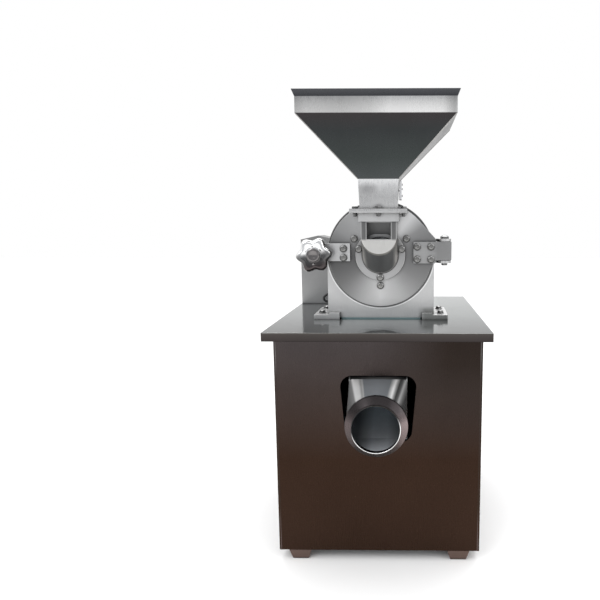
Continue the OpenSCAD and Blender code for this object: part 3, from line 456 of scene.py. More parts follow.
def knob_tone(s):
    """Chrome casting with painted reflections: white where it faces up and left, near black below, and dark on its
    flanks.
    """
    place = s.math("SUBTRACT", s.axis(2, STUD.z), s.math("MULTIPLY", s.axis(0, STUD.x), 0.18))
    value = s.math("ADD", place, s.math("MULTIPLY", s.facing(2), 0.010))
    value = s.math("ADD", value,
                   s.remap(s.noise(26.0, 2.0, distortion=1.0), 0.3, 0.7, -0.003, 0.003))
    # Painted reflections: white above and to the left, near black below.
    chrome = s.ramp(s.remap(value, -0.03, 0.03), (0.0, (0.070, 0.060, 0.060)), (0.30, 0.105),
                    (0.46, 0.14), (0.56, 0.40), (0.66, 0.95))
    outer = s.remap(s.facing(1), -0.45, -0.15)
    # Painted shade on the lobes' flanks.
    chrome = s.mix(s.math("MULTIPLY", outer, 0.8), chrome, (0.05, 0.045, 0.045))
    hub = s.remap(s.radius(STUD), 0.0165, 0.0185)
    return s.mix(hub, (0.19, 0.18, 0.18), chrome)


def chute_tone(s):
    """Polished sheet with painted reflections: a grey roof between painted bands of light and dark along its bent
    corners, painted shade low down, and its inner faces painted pale.
    """
    half = s.remap(s.axis(1), CHUTE_END, MOUTH_Y + 0.014, 0.040, 0.027)
    across = s.remap(s.math("DIVIDE", s.axis(0), half), -2.0, 2.0)
    bands = s.ramp(across, (0.0, 0.16), (0.07, 0.24), (0.10, 0.75), (0.18, 0.68), (0.22, 0.34),
                   (0.25, 0.48), (0.27, (0.22, 0.235, 0.25)), (0.50, (0.255, 0.27, 0.29)),
                   (0.71, (0.22, 0.235, 0.25)), (0.75, 0.60), (0.79, 1.0), (0.83, 0.35),
                   (0.86, 0.06), (0.90, 0.12), (0.93, 0.45), (0.96, 0.20), (1.0, 0.06))
    low = s.remap(s.axis(2, MOUTH_Z), -0.015, 0.02, 0.10, 1.0)
    # Painted shade towards the bottom.
    bands = s.mix(1.0, bands, s.mix(low, (0.0, 0.0, 0.0), (1.0, 1.0, 1.0)), "MULTIPLY")
    inward = s.remap(s.outward(), -0.4, -0.8)
    return s.mix(inward, bands, (0.62, 0.68, 0.72))


def mouth_tone(s):
    """Inside of the duct: painted shade under its roof and at its sides, and painted light low down."""
    off = s.math("ABSOLUTE", s.axis(0, 0.004))
    up = s.remap(s.axis(2, MOUTH_Z), -0.06, 0.06)
    glow = s.ramp(up, (0.0, (0.66, 0.69, 0.73)), (0.25, (0.80, 0.90, 0.98)),
                  (0.65, (0.84, 0.96, 1.0)), (0.82, (0.40, 0.46, 0.50)), (1.0, 0.08))
    return s.mix(1.0, glow, s.ramp(s.remap(off, 0.0, 0.06), (0.3, 1.0), (0.75, 0.45),
                                   (0.95, 0.22)), "MULTIPLY")


def rim_tone(s):
    """Lip of the mouth: a painted highlight on its lower part and painted shade on its upper part."""
    low = s.math("SUBTRACT", s.axis(2, MOUTH_Z), s.math("MULTIPLY", s.axis(0), 0.35))
    return s.mix(s.remap(low, -0.012, 0.012), (0.95, 0.95, 0.94), (0.05, 0.048, 0.048))


def collar_tone(s):
    """Spun outlet ring: dark on top, a little lighter at the sides, brown below, with painted streaks of light
    towards its right.
    """
    up = s.remap(s.axis(2, MOUTH_Z), -0.075, 0.075)
    right = s.remap(s.axis(0), -0.07, 0.07)
    face = s.ramp(up, (0.0, (0.050, 0.038, 0.033)), (0.30, (0.080, 0.062, 0.060)),
                  (0.58, (0.115, 0.092, 0.092)), (0.76, (0.042, 0.037, 0.038)),
                  (1.0, (0.028, 0.025, 0.026)))
    # Painted streaks of light, brightest on the right.
    painted_glints = s.ramp(right, (0.0, 0.95), (0.2, 0.85), (0.72, 0.9), (0.86, 1.2), (0.93, 2.0),
                     (1.0, 2.2))
    return s.mix(1.0, face, painted_glints, "MULTIPLY")


def bolt_tone(s):
    """Bolt heads: grey faces, a painted highlight on the chamfer above and painted shade on the flanks below."""
    flat = s.math("MAXIMUM", s.math("ABSOLUTE", s.facing(1)), s.facing(2))
    lit = s.ramp(s.remap(s.facing(2), -1.0, 1.0), (0.15, 0.04), (0.45, 0.08), (0.6, 0.30),
                 (0.85, 0.55))
    return s.mix(s.remap(flat, 0.97, 0.995), lit, (0.25, 0.248, 0.24))


def guard_tone(s):
    """Thin box sheet: greyer towards the top of each side, its sloping roof painted lighter for the light it
    catches, and lighter towards the back.
    """
    face = s.ramp(s.remap(s.axis(2), TABLE_TOP, TABLE_TOP + 0.21), (0.0, 0.38), (0.35, 0.33),
                  (1.0, 0.28))
    roof = s.ramp(s.remap(s.axis(1), 0.16, 0.20), (0.0, 0.16), (0.3, 0.24), (1.0, 0.28))
    return s.mix(s.remap(s.facing(2), 0.2, 0.8), face, roof)


def strap_tone(s):
    """Hinge strap: its face darkens in steps towards the hinge, and its upward faces are painted light."""
    face = s.ramp(s.remap(s.axis(0), -0.19, 0.19), (0.0, 0.60), (0.45, 0.59), (0.60, 0.57),
                  (0.74, 0.40), (0.86, 0.36), (0.90, 0.28), (1.0, 0.30))
    return s.mix(s.remap(s.facing(2), 0.3, 0.8), face, (0.66, 0.67, 0.67))


LOOKS = {look.name: look for look in (
    steel("cabinet_steel", None, (0.22, 0.30), (30, 30, 1.2), tone=cabinet_tone, bump=0.05),
    steel("table_steel", None, (0.07, 0.12), (40, 2, 40), tone=table_tone, bump=0.03),
    steel("housing_steel", None, (0.30, 0.40), (20, 20, 2), tone=housing_tone),
    steel("door_steel", None, (0.28, 0.34), tone=door_tone, turned=True, bump=0.05),
    steel("ring_steel", None, (0.30, 0.36), tone=ring_tone, turned=True, bump=0.05),
    steel("strap_steel", None, (0.30, 0.40), (2, 40, 40), tone=strap_tone),
    steel("throat_steel", None, (0.30, 0.40), (30, 30, 2), tone=throat_tone, gap_shade_reach=0.004,
          metallic=0.6),
    steel("neck_steel", None, (0.24, 0.32), (30, 30, 2), tone=neck_tone),
    steel("hopper_steel", None, (0.24, 0.32), (30, 30, 2), tone=hopper_tone, gap_shade_reach=0.0),
    steel("guard_steel", None, (0.34, 0.44), (30, 30, 2), tone=guard_tone),
    steel("gate_steel", (0.86, 0.86, 0.87), (0.3, 0.4), (40, 40, 2)),
    steel("machined_steel", (0.48, 0.485, 0.49), (0.25, 0.36), (20, 20, 20)),
    steel("hammer_steel", (0.27, 0.27, 0.275), (0.35, 0.5), (20, 20, 4)),
    steel("collar_steel", None, (0.24, 0.32), (20, 20, 20), tone=collar_tone),
    steel("polished_steel", None, (0.12, 0.20), (1, 1, 1), tone=chute_tone, bump=0.03,
          metallic=0.35),
    steel("chute_inside", None, (0.3, 0.4), (3, 3, 3), tone=mouth_tone, bump=0.05,
          gap_shade_reach=0.0, metallic=0.2),
    steel("bright_steel", None, (0.18, 0.28), (1, 1, 1), tone=bolt_tone, gap_shade_reach=0.004),
    steel("knob_chrome", None, (0.07, 0.14), (1, 1, 1), tone=knob_tone, bump=0.02),
    steel("corner_edge", None, (0.22, 0.30), (30, 30, 2), tone=edge_tone, gap_shade_reach=0.0),
    steel("rim_steel", (0.62, 0.62, 0.63), (0.15, 0.22), (1, 1, 1), gap_shade_reach=0.0),
    steel("mouth_steel", None, (0.15, 0.22), (1, 1, 1), tone=rim_tone, gap_shade_reach=0.0),
    steel("weld_steel", (0.40, 0.39, 0.38), (0.35, 0.5), (8, 8, 8), spread=0.3),
    cast("cast_iron", (0.20, 0.21, 0.22)),
    paint("frame_paint", (0.012, 0.012, 0.013)),
    paint("foot_paint", (0.088, 0.048, 0.035), (0.45, 0.6), (0.15, 0.10, 0.07)),
    paint("motor_paint", (0.10, 0.17, 0.21), (0.3, 0.42)),
    plastic("gasket_rubber", (0.13, 0.20, 0.21), (0.5, 0.65)),
    plastic("belt_rubber", (0.02, 0.02, 0.02), (0.6, 0.75)),
    plastic("cable_rubber", (0.010, 0.010, 0.011), (0.4, 0.55)),
    plastic("black_plastic", (0.02, 0.02, 0.021)),
    plastic("green_plastic", (0.02, 0.30, 0.07), (0.2, 0.3)),
    plastic("red_plastic", (0.50, 0.02, 0.015), (0.2, 0.3)),
)}

# Width of the rounded edges, and the nodes where it isn't the usual one
USUAL_EDGE = 0.0007
EDGES = {"table_top": 0.0016, "discharge_chute": 0.0, "motor_cable": 0.0, "v_belts": 0.0,
         "fan_cowl": 0.0, "screen_ring": 0.0, "mill_housing": 0.0012, "door_plate": 0.001,
         "mill_feet": 0.0012, "feet": 0.002, "hinge_strap": 0.001, "clamp_bracket": 0.001,
         "inlet_ring": 0.001, "outlet_collar": 0.0006, "rear_panel": 0.0, "front_panel": 0.0006}


def finish_nodes():
    """Gives each CAD node the look of its material slot and small rounded edges."""
    slot_of = {p["node"]: p["material_slot"] for p in frame["record"]["subparts"]}
    for name, obj in nodes.items():
        material = LOOKS[slot_of[name]].material
        for place in obj.material_slots:
            place.material = material
        if not obj.material_slots:
            obj.data.materials.append(material)
        width = EDGES.get(name, USUAL_EDGE)
        if not width:
            continue
        weld = obj.modifiers.new("weld", "WELD")
        weld.merge_threshold = 0.00001
        flat = obj.modifiers.new("flat", "DECIMATE")
        flat.decimate_type = "DISSOLVE"
        flat.angle_limit = math.radians(0.6)
        bevel = obj.modifiers.new("bevel", "BEVEL")
        bevel.width = width
        bevel.segments = 2
        bevel.limit_method = "ANGLE"
        bevel.angle_limit = math.radians(33)
        normals = obj.modifiers.new("normals", "WEIGHTED_NORMAL")
        normals.keep_sharp = False
        for face in obj.data.polygons:
            face.use_smooth = True


finish_nodes()


# ---- mesh tools ----------------------------------------------------------------------------

def frame_about(axis):
    """Two directions at right angles to an axis."""
    side = axis.cross(Vector((0.0, 0.0, 1.0)))
    if side.length < 0.1:
        side = axis.cross(Vector((0.0, 1.0, 0.0)))
    side.normalize()
    return side, axis.cross(side)


class Shape:
    """Corners and faces of a piece, gathered bit by bit."""

    def __init__(self):
        self.points = []
        self.faces = []
        self.looks = []

    def add(self, points, faces, look=0):
        start = len(self.points)
        self.points += [tuple(p) for p in points]
        self.faces += [[start + i for i in face] for face in faces]
        self.looks += [look] * len(faces)

    def loft(self, rings, loop=False, look=0):
        """Skin over rings of equal length; the ends are closed, or joined with each other."""
        n = len(rings[0])
        count = len(rings)
        faces = []
        for k in range(count if loop else count - 1):
            a, b = k * n, (k + 1) % count * n
            faces += [[a + i, a + (i + 1) % n, b + (i + 1) % n, b + i] for i in range(n)]
        if not loop:
            faces += [list(range(n)), list(range((count - 1) * n, count * n))]
        self.add([p for ring in rings for p in ring], faces, look)

    def turned(self, base, axis, profile, steps=40, loop=False):
        """Profile of (radius, height) turned about an axis through base."""
        side, across = frame_about(axis)
        rings = []
        for radius, height in profile:
            rings.append([base + axis * height
                          + (side * math.cos(a) + across * math.sin(a)) * radius
                          for a in (math.tau * k / steps for k in range(steps))])
        self.loft(rings, loop)

    def prism(self, outline, x0, x1, look=0):
        """Outline of (y, z) between two places along X."""
        self.loft([[(x, y, z) for y, z in outline] for x in (x0, x1)], look=look)

    def slab(self, low, high):
        """Box with chamfered edges, between two corners."""
        (x0, y0, z0), (x1, y1, z1) = low, high
        c = 0.0004
        outline = [(y0 + c, z0), (y1 - c, z0), (y1, z0 + c), (y1, z1 - c),
                   (y1 - c, z1), (y0 + c, z1), (y0, z1 - c), (y0, z0 + c)]
        small = [(y0 + 2 * c, z0 + c), (y1 - 2 * c, z0 + c), (y1 - c, z0 + 2 * c),
                 (y1 - c, z1 - 2 * c), (y1 - 2 * c, z1 - c), (y0 + 2 * c, z1 - c),
                 (y0 + c, z1 - 2 * c), (y0 + c, z0 + 2 * c)]
        self.loft([[(x, y, z) for y, z in line] for x, line in
                   ((x0, small), (x0 + c, outline), (x1 - c, outline), (x1, small))])

    def piece(self, name, body, slot, replaced=(), looks=None, sharp=38):
        """Makes the object. Its looks are the slot's own, unless others are named."""
        mesh = bpy.data.meshes.new(name)
        mesh.from_pydata(self.points, [], self.faces)
        for look in looks or [slot]:
            mesh.materials.append(LOOKS[look].material)
        for face, look in zip(mesh.polygons, self.looks):
            face.material_index = look
        work = bmesh.new()
        work.from_mesh(mesh)
        bmesh.ops.recalc_face_normals(work, faces=work.faces)
        work.to_mesh(mesh)
        work.free()
        for face in mesh.polygons:
            face.use_smooth = True
        mesh.set_sharp_from_angle(angle=math.radians(sharp))
        obj = bpy.data.objects.new(name, mesh)
        scene.collection.objects.link(obj)
        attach(obj, body)
        if replaced:
            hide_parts(*replaced)
        return obj


def solids_of(node):
    """The corners of each separate solid of a CAD node."""
    mesh = nodes[node].data
    number = {}
    ids = [number.setdefault(tuple(round(c, 6) for c in v.co), len(number))
           for v in mesh.vertices]
    parent = list(range(len(number)))

    def root(i):
        while parent[i] != i:
            parent[i] = parent[parent[i]]
            i = parent[i]
        return i

    for face in mesh.polygons:
        first = root(ids[face.vertices[0]])
        for v in face.vertices[1:]:
            parent[root(ids[v])] = first
    groups = {}
    for place, i in number.items():
        groups.setdefault(root(i), []).append(Vector(place))
    return list(groups.values())


# ---- fasteners -----------------------------------------------------------------------------

BOLT_R = 0.005
WASHER_T = 0.0015
HEAD_T = 1.3 * BOLT_R
FLATS = 1.8 * BOLT_R * math.cos(math.radians(30))


def hex_bolt(shape, corners, head):
    """Chamfered hexagon bolt, spring washer and washer, where the CAD has a plain bolt."""
    centre = Vector([(min(p[i] for p in corners) + max(p[i] for p in corners)) / 2
                     for i in range(3)])
    base = centre - head * centre.dot(head)
    top = max(p.dot(head) for p in corners)
    tip = min(p.dot(head) for p in corners)
    seat = top - HEAD_T - WASHER_T
    side, across = frame_about(head)
    steps = 36

    def ring(radius_at, height_at):
        points = []
        for k in range(steps):
            a = math.tau * k / steps
            sixth = (a + math.pi / 6) % (math.pi / 3) - math.pi / 6
            full = FLATS / math.cos(sixth)
            r = radius_at(full)
            points.append(base + head * height_at(r)
                          + (side * math.cos(a) + across * math.sin(a)) * r)
        return points

    def chamfer(r):
        return top - 0.0003 - max(0.0, r - 0.93 * FLATS) * 0.62

    low = seat + WASHER_T + 0.0012
    shape.loft([ring(lambda full: full * 0.97, lambda r: low),
                ring(lambda full: full, lambda r: low + 0.0003),
                ring(lambda full: full, chamfer),
                ring(lambda full: 0.93 * FLATS, lambda r: top - 0.0001),
                ring(lambda full: 0.88 * FLATS, lambda r: top),
                ring(lambda full: 0.45 * FLATS, lambda r: top),
                ring(lambda full: 0.38 * FLATS, lambda r: top - 0.0004)])
    washer_top = seat + WASHER_T
    shape.turned(base, head, [(1.5 * BOLT_R, washer_top), (1.6 * BOLT_R, washer_top + 0.0002),
                 (1.6 * BOLT_R, low - 0.0001), (1.5 * BOLT_R, low + 0.0001)], 28)
    shape.turned(base, head, [(2 * BOLT_R - 0.0003, seat), (2 * BOLT_R, seat + 0.0003),
                 (2 * BOLT_R, washer_top - 0.0004), (2 * BOLT_R - 0.0004, washer_top)], 36)
    shape.turned(base, head, [(BOLT_R - 0.0008, tip), (BOLT_R, tip + 0.0008),
                 (BOLT_R, seat + 0.0002)], 24)


def bolts(name, node, body, head_of):
    """A detailed bolt for each solid of the node; head_of(corners) is the way its head points."""
    shape = Shape()
    for corners in solids_of(node):
        hex_bolt(shape, corners, head_of(corners))
    shape.piece(name, body, "bright_steel", [node], sharp=32)


def small_screw(shape, place, outward, radius):
    """Pan-head screw with a round recess."""
    shape.turned(place, outward, [(radius, -0.0005), (radius, 0.0006), (0.85 * radius, 0.0014),
                 (0.55 * radius, 0.0018), (0.30 * radius, 0.0019), (0.22 * radius, 0.0010)],
                 20)


bolts("door_bolt_set", "door_bolts", "door", lambda corners: FRONT)
bolts("flange_bolt_set", "flange_bolts", "door", lambda corners: UP)
bolts("foot_bolt_set", "hold_down_bolts", "root", lambda corners: UP)
bolts("drive_bolt_set", "drive_bolts", "root",
      lambda corners: BACK if corners[0].z > TABLE_TOP else UP)


# ---- clamp knob ----------------------------------------------------------------------------

def knob():
    """Star knob of six round lobes, with a round hub that stands out of its face."""
    lobe_r = 0.0135
    body_r = 0.0335
    valley_r = 0.0385
    blend = 0.010
    hub_r = 0.0190
    first_lobe = math.radians(6)
    lobes = [Vector((body_r * math.cos(first_lobe + k * math.pi / 3),
                     body_r * math.sin(first_lobe + k * math.pi / 3))) for k in range(6)]

    def outside(point):
        """Distance from the lobed outline, with the valleys filled smoothly."""
        found = point.length - valley_r
        for lobe in lobes:
            other = (point - lobe).length - lobe_r
            h = max(0.0, min(1.0, 0.5 + 0.5 * (other - found) / blend))
            found = other * (1 - h) + found * h - blend * h * (1 - h) * 0.5
        return found

    steps = 144
    outline = []
    for k in range(steps):
        a = math.tau * k / steps
        way = Vector((math.cos(a), math.sin(a)))
        near, far = 0.02, 0.06
        for _ in range(30):
            half = (near + far) / 2
            near, far = (half, far) if outside(way * half) < 0 else (near, half)
        outline.append((a, min(near, body_r + lobe_r)))

    low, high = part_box("star_knob")
    back = high.y
    face = back - low.y
    # Inset from the outline, depth in front of the back, and share of the round hub
    profile = [(0.010, 0.0, 0), (0.004, 0.0002, 0), (0.0012, 0.002, 0), (0.0, 0.006, 0),
               (0.0, 0.0125, 0), (0.0008, 0.017, 0), (0.003, 0.0208, 0), (0.0065, 0.0231, 0),
               (0.0105, 0.0238, 0), (0.0145, 0.0232, 0.25), (0.0, 0.0222, 0.85),
               (0.0, 0.0218, 1)]
    rings = []
    for inset, depth, hub in profile:
        ring = []
        for a, r in outline:
            radius = (r - inset) * (1 - hub) + hub_r * hub
            ring.append((STUD.x + radius * math.cos(a), back - depth,
                         STUD.z + radius * math.sin(a)))
        rings.append(ring)
    for radius, depth in ((0.0172, 0.0224), (0.0168, face - 0.0012), (0.0158, face - 0.0002),
                          (0.0145, face), (0.0080, face), (0.0068, face - 0.0006)):
        rings.append([(STUD.x + radius * math.cos(a), back - depth,
                       STUD.z + radius * math.sin(a)) for a, _ in outline])
    shape = Shape()
    shape.loft(rings)
    shape.piece("star_knob_casting", "clamp_knob", "knob_chrome", ["star_knob"], sharp=60)


knob()


# ---- discharge chute -----------------------------------------------------------------------

def chute():
    """Sheet-metal duct behind the cut-out, and the square-to-round part in front of it."""
    low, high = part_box("discharge_chute")
    x = 0.072
    wall = 0.002
    back = MILL_BACK - 0.002
    front = MILL_FRONT + 0.002
    corner = 0.010
    base, roof = MOUTH_Z - 0.066, MOUTH_Z + 0.088
    bend_y, bend_z, front_z, back_z = -0.130, MOUTH_Z + 0.116, MOUTH_Z + 0.144, MOUTH_Z + 0.034
    outer = [(front, high.z), (back, high.z), (back, back_z), (CHUTE_END, base),
             (CHUTE_END, roof), (bend_y, bend_z), (front, front_z)]
    inner = [(front + wall, high.z), (back - wall, high.z), (back - wall, back_z + wall),
             (CHUTE_END, base + wall), (CHUTE_END, roof - wall),
             (bend_y + wall / 4, bend_z - wall), (front + wall, front_z)]
    shape = Shape()
    for side in (-1, 1):
        shape.prism(outer, side * (x - wall), side * x)
    for i, j in ((1, 2), (2, 3), (4, 5), (5, 6), (6, 0)):
        shape.prism([outer[i], outer[j], inner[j], inner[i]], wall - x, x - wall, look=1)
    flange = high.z - 0.003
    flange_x = 0.085
    out = 0.012
    for x0, x1, y0, y1 in ((-flange_x, -x, front - out, back + out),
                           (x, flange_x, front - out, back + out),
                           (-x, x, front - out, front), (-x, x, back, back + out)):
        shape.slab((x0, y0, flange), (x1, y1, high.z))
    round_from = low.y + 0.006
    per_corner = 17

    def section(y, inside):
        """Points round the chute: four corners that turn into the quarters of a circle."""
        share = min(1.0, (y - CHUTE_END) / (round_from - CHUTE_END))
        points = []
        for quarter in range(4):
            for k in range(per_corner):
                a = math.radians(90 * quarter + 90 * k / (per_corner - 1))
                cx = (x - corner) * (1 if quarter in (0, 3) else -1)
                cz = (roof if quarter in (0, 1) else base) + (
                    -corner if quarter in (0, 1) else corner)
                r = corner - inside
                square = (cx + r * math.cos(a), cz + r * math.sin(a))
                pipe = ((x - inside) * math.cos(a), MOUTH_Z + (x - inside) * math.sin(a))
                points.append((square[0] * (1 - share) + pipe[0] * share, y,
                               square[1] * (1 - share) + pipe[1] * share))
        return points

    places = [CHUTE_END + (round_from - CHUTE_END) * k / 8 for k in range(9)] + [low.y]
    start = len(shape.faces)
    shape.loft([section(y, 0.0) for y in places]
               + [section(y, wall) for y in reversed(places)], loop=True)
    ring = 4 * per_corner
    for index in range(start + len(places) * ring, start + (2 * len(places) - 1) * ring):
        shape.looks[index] = 1
    shape.piece("discharge_chute_sheet", "root", "polished_steel", ["discharge_chute"],
                ["polished_steel", "chute_inside"], sharp=50)

    rim = Shape()
    bead = 0.0010
    bead_at = 0.0566
    rim.turned(Vector((0, MOUTH_Y + 0.4 * bead, MOUTH_Z)), FRONT,
               [(bead_at + bead * math.cos(a), bead * math.sin(a))
                for a in (math.tau * k / 12 for k in range(12))], 72, loop=True)
    rim.piece("mouth_rim", "root", "polished_steel", looks=["mouth_steel"], sharp=80)


chute()


# ---- cable ---------------------------------------------------------------------------------

CABLE_R = 0.0035
# From the gland on the control box, round its loop and down to the motor's terminal box
ROUTE = [
    (-0.172, 0.151, 0.650), (-0.173, 0.145, 0.650), (-0.178, 0.138, 0.649),
    (-0.186, 0.133, 0.646), (-0.193, 0.131, 0.641), (-0.195, 0.130, 0.635),
    (-0.193, 0.130, 0.629), (-0.186, 0.131, 0.625), (-0.177, 0.133, 0.624),
    (-0.170, 0.135, 0.621), (-0.166, 0.136, 0.614), (-0.166, 0.136, 0.604),
    (-0.166, 0.136, 0.574), (-0.165, 0.128, 0.524), (-0.158, 0.108, 0.463),
    (-0.146, 0.076, 0.402), (-0.132, 0.042, 0.351), (-0.120, 0.016, 0.318),
    (-0.115, 0.006, 0.304), (-0.114, 0.005, 0.296)]


def smooth_line(route, parts):
    """Curve through the route's points, as close points."""
    points = [Vector(p) for p in route]
    ends = [2 * points[0] - points[1]] + points + [2 * points[-1] - points[-2]]
    line = []
    for k in range(len(points) - 1):
        a, b, c, d = ends[k:k + 4]
        for i in range(parts):
            t = i / parts
            line.append(0.5 * (2 * b + (c - a) * t + (2 * a - 5 * b + 4 * c - d) * t ** 2
                               + (3 * b - a - 3 * c + d) * t ** 3))
    return line + [points[-1]]


def cable():
    """The motor's lead, swept along its route."""
    line = smooth_line(ROUTE, 5)
    rings = []
    side = Vector((0, 0, 1))
    for k, point in enumerate(line):
        ahead = (line[min(k + 1, len(line) - 1)] - line[max(k - 1, 0)]).normalized()
        side = (side - ahead * side.dot(ahead)).normalized()
        across = ahead.cross(side)
        rings.append([point + (side * math.cos(a) + across * math.sin(a)) * CABLE_R
                      for a in (math.tau * i / 16 for i in range(16))])
    shape = Shape()
    shape.loft(rings)
    piece = shape.piece("motor_lead", "root", "cable_rubber", ["motor_cable"], sharp=60)


cable()


# ---- buttons -------------------------------------------------------------------------------

def button(name, node, body, slot):
    """Domed push button with a shallow groove round its cap, and its fixed chrome bezel."""
    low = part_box(node)[0]
    centre = middle(node)
    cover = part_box("control_cover")[0].y
    base = Vector((centre.x, cover, centre.z))
    cap = Shape()
    front = cover - low.y
    cap.turned(base, FRONT,
               [(0.0085, -0.012), (0.0108, -0.012), (0.0108, front - 0.0022),
                (0.0102, front - 0.0014), (0.0095, front - 0.0011), (0.0090, front - 0.0014),
                (0.0084, front - 0.0012), (0.0060, front - 0.0004), (0.0025, front - 0.0001)],
               40)
    cap.turned(base, FRONT,
               [(0.0108, -0.0055), (0.0140, -0.0055), (0.0140, -0.0025), (0.0108, -0.0025)],
               40)
    cap.piece(name + "_cap", body, slot, [node], sharp=40)
    bezel = Shape()
    bezel.turned(base, FRONT,
                 [(0.0118, 0.0001), (0.0160, 0.0001), (0.0160, 0.0014), (0.0150, 0.0026),
                  (0.0132, 0.0032), (0.0120, 0.0028)], 48, loop=True)
    bezel.piece(name + "_bezel", "root", "bright_steel", looks=["rim_steel"], sharp=50)


button("start", "start_button", "start", "green_plastic")
button("stop", "stop_button", "stop", "red_plastic")


# ---- trim ----------------------------------------------------------------------------------

def cabinet_trim():
    """Rounded vertical corners, and screws along the rear panel and the side panels."""
    low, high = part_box("front_panel")
    corners = Shape()
    r = 0.006
    proud = 0.0003
    for side in (-1, 1):
        edge = side * high.x
        outline = [(edge - side * r, low.y - proud)]
        for k in range(9):
            a = math.radians(90 * k / 8)
            outline.append((edge - side * r * (1 - math.sin(a)) + side * proud,
                            low.y + r * (1 - math.cos(a)) - proud))
        outline += [(edge + side * proud, low.y + 2 * r), (edge - side * 0.0006, low.y + 2 * r),
                    (edge - side * 0.0006, low.y + 0.0006), (edge - side * r, low.y + 0.0004)]
        corners.loft([[(x, y, z) for x, y in outline] for z in (low.z, high.z - 0.0004)])
    corners.piece("corner_edges", "root", "cabinet_steel", looks=["corner_edge"], sharp=60)

    screws = Shape()
    screw_r = 0.004
    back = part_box("rear_panel")[1].y
    bottom, half_way, top = low.z + 0.02, (low.z + high.z) / 2, high.z - 0.05
    for x in (low.x + 0.02, 0.0, high.x - 0.02):
        for z in (bottom, half_way, top):
            if x or z != half_way:
                small_screw(screws, Vector((x, back, z)), BACK, screw_r)
    for side in (-1, 1):
        for y in (low.y + 0.03, 0.03, back - 0.03):
            for z in (bottom, top):
                small_screw(screws, Vector((side * high.x, y, z)), Vector((side, 0, 0)), screw_r)
    screws.piece("cabinet_screws", "root", "bright_steel", sharp=40)


def louvres():
    """Pressed hood over each vent slot of the rear panel."""
    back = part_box("rear_panel")[1].y
    hoods = Shape()
    slot_l, slot_h, slot_x = 0.110, 0.005, 0.095
    pitch, first = 0.016, 0.360
    hood_out = 0.0045
    for side in (-1, 1):
        for row in range(8):
            x = side * slot_x
            z = first + row * pitch
            rings = []
            for k in range(9):
                a = math.pi * k / 8
                out = hood_out * math.sin(a) ** 0.5 + 0.0001
                along = x - (slot_l / 2 + 0.003) * math.cos(a)
                rings.append([(along, back, z - 0.0005), (along, back + out, z - 0.0005),
                              (along, back + out * 0.85, z + slot_h * 0.6),
                              (along, back + out * 0.4, z + slot_h + 0.002),
                              (along, back, z + slot_h + 0.003)])
            hoods.loft(rings)
    hoods.piece("louvre_hoods", "root", "cabinet_steel", sharp=50)


def hopper_seams():
    """Welded seams on the four sloping corners."""
    seams = Shape()
    for side in (-1, 1):
        for top_y, low_y in ((HOPPER_FRONT, NECK_LOW_Y), (HOPPER_BACK, NECK_HIGH_Y)):
            top = Vector((side * HOPPER_X, top_y, SLOPE_TOP))
            low = Vector((side * NECK_TOP_X, low_y, HOPPER_LOW.z))
            way = (top - low).normalized()
            reach = (top - low).length
            seams.turned(low, way, [(0.0010, 0.001), (0.0013, 0.003), (0.0013, reach - 0.003),
                                    (0.0010, reach - 0.001)], 10)
    seams.piece("hopper_seams", "door", "neck_steel", looks=["weld_steel"], sharp=70)


def weld_bead(shape, line, radius, beads):
    """Row of overlapping ripples along a line of points."""
    rings = []
    total = len(line)
    for k, point in enumerate(line):
        ahead = (line[min(k + 1, total - 1)] - line[max(k - 1, 0)]).normalized()
        side, across = frame_about(ahead)
        r = radius * (0.86 + 0.14 * abs(math.sin(math.pi * beads * k / total)))
        rings.append([point + (side * math.cos(a) + across * math.sin(a)) * r
                      for a in (math.tau * i / 8 for i in range(8))])
    shape.loft(rings)


def welds():
    """Weld round the throat at the inlet ring, and along the collar and the hopper neck."""
    beads = Shape()
    ring_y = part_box("inlet_ring")[0].y
    arc_r = 0.0465
    arc = [Vector((arc_r * math.sin(a), ring_y - 0.0006, AXIS.z - arc_r * math.cos(a)))
           for a in (math.radians(-100 + 200 * k / 160) for k in range(161))]
    weld_bead(beads, arc, 0.0012, 40)
    collar_low, collar_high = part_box("throat_collar")
    for side in (-1, 1):
        x = side * 0.0515
        z = collar_high.z - 0.0055
        weld_bead(beads, [Vector((x, collar_low.y + 0.02 + 0.07 * k / 60, z))
                          for k in range(61)], 0.0010, 18)
        x = side * 0.0478
        z = NECK_LOW.z + 0.0058
        weld_bead(beads, [Vector((x, NECK_LOW_Y + 0.006 + 0.062 * k / 60, z))
                          for k in range(61)], 0.0009, 18)
    front = Vector((0, NECK_LOW_Y + 0.0026, NECK_LOW.z + 0.0056))
    half = 0.046
    weld_bead(beads, [front + Vector((-half + 2 * half * k / 80, 0, 0)) for k in range(81)],
              0.0009, 24)
    beads.piece("weld_beads", "door", "neck_steel", looks=["weld_steel"], sharp=70)


def gate_screws():
    """Three dark screws on the gate's folded end, seen from the front and from the side."""
    low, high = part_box("feed_gate")
    screws = Shape()
    for z in (high.z - 0.008, (high.z + low.z) / 2 + 0.004, low.z + 0.010):
        small_screw(screws, Vector((high.x - 0.0032, low.y + 0.0156, z)), FRONT, 0.0022)
        small_screw(screws, Vector((high.x, middle("feed_gate").y, z)), Vector((1, 0, 0)), 0.003)
    screws.piece("gate_screws", "gate", "bright_steel", looks=["black_plastic"], sharp=40)


cabinet_trim()
louvres()
hopper_seams()
welds()
gate_screws()


# ---- studio --------------------------------------------------------------------------------

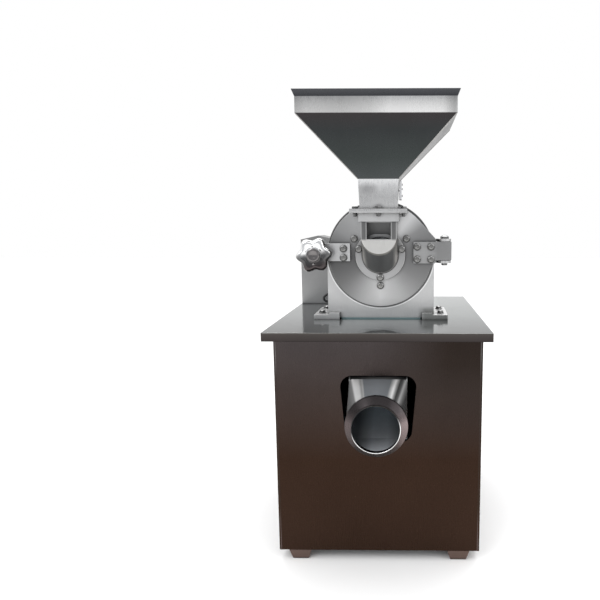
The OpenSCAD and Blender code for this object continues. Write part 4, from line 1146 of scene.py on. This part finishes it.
def studio():
    """Plain pale floor, white surroundings that are a little darker behind the camera."""
    reach = 12.0
    lean = 0.8  # how much they lighten upwards, beside their change from front to back
    ground = bpy.data.meshes.new("floor")
    ground.from_pydata([(-reach, -reach, 0), (reach, -reach, 0), (reach, reach, 0),
                        (-reach, reach, 0)], [], [(0, 1, 2, 3)])
    floor = bpy.data.objects.new("floor", ground)
    scene.collection.objects.link(floor)
    look = Shader("floor_paint")
    look.set(Roughness=0.9)
    look.body.inputs["Base Color"].default_value = (0.93, 0.93, 0.93, 1)
    ground.materials.append(look.material)

    world = bpy.data.worlds.new("studio")
    scene.world = world
    world.use_nodes = True
    tree = world.node_tree
    coords = tree.nodes.new("ShaderNodeTexCoord")
    split = tree.nodes.new("ShaderNodeSeparateXYZ")
    tree.links.new(coords.outputs["Generated"], split.inputs[0])
    total = tree.nodes.new("ShaderNodeMath")
    total.operation = "MULTIPLY_ADD"
    total.inputs[1].default_value = lean
    tree.links.new(split.outputs[2], total.inputs[0])
    tree.links.new(split.outputs[1], total.inputs[2])
    ramp = tree.nodes.new("ShaderNodeValToRGB")
    ramp.color_ramp.elements[0].position = 0.10
    ramp.color_ramp.elements[0].color = (0.62, 0.63, 0.65, 1)
    ramp.color_ramp.elements[1].position = 0.52
    ramp.color_ramp.elements[1].color = (1.0, 1.0, 1.0, 1)
    shift = tree.nodes.new("ShaderNodeMapRange")
    shift.inputs[1].default_value = -1.0
    tree.links.new(total.outputs[0], shift.inputs[0])
    tree.links.new(shift.outputs[0], ramp.inputs[0])
    tree.links.new(ramp.outputs[0], tree.nodes["Background"].inputs[0])

    def area(name, place, size, power):
        light = bpy.data.lights.new(name, "AREA")
        light.shape = "RECTANGLE"
        light.size, light.size_y = size
        light.energy = power
        lamp = bpy.data.objects.new(name, light)
        lamp.location = place
        aim = Vector((0, 0, 0.7)) - Vector(place)
        lamp.rotation_euler = aim.to_track_quat("-Z", "Y").to_euler()
        scene.collection.objects.link(lamp)

    area("key", (-1.8, -2.2, 2.6), (1.8, 1.4), 30)
    area("fill", (2.4, -1.6, 1.8), (1.4, 1.8), 14)
    area("top", (0.2, 0.4, 3.4), (2.6, 2.6), 30)
    ceiling = bpy.data.lights.new("ceiling", "SUN")
    ceiling.energy = 0.9
    ceiling.angle = 1.6
    scene.collection.objects.link(bpy.data.objects.new("ceiling", ceiling))


studio()
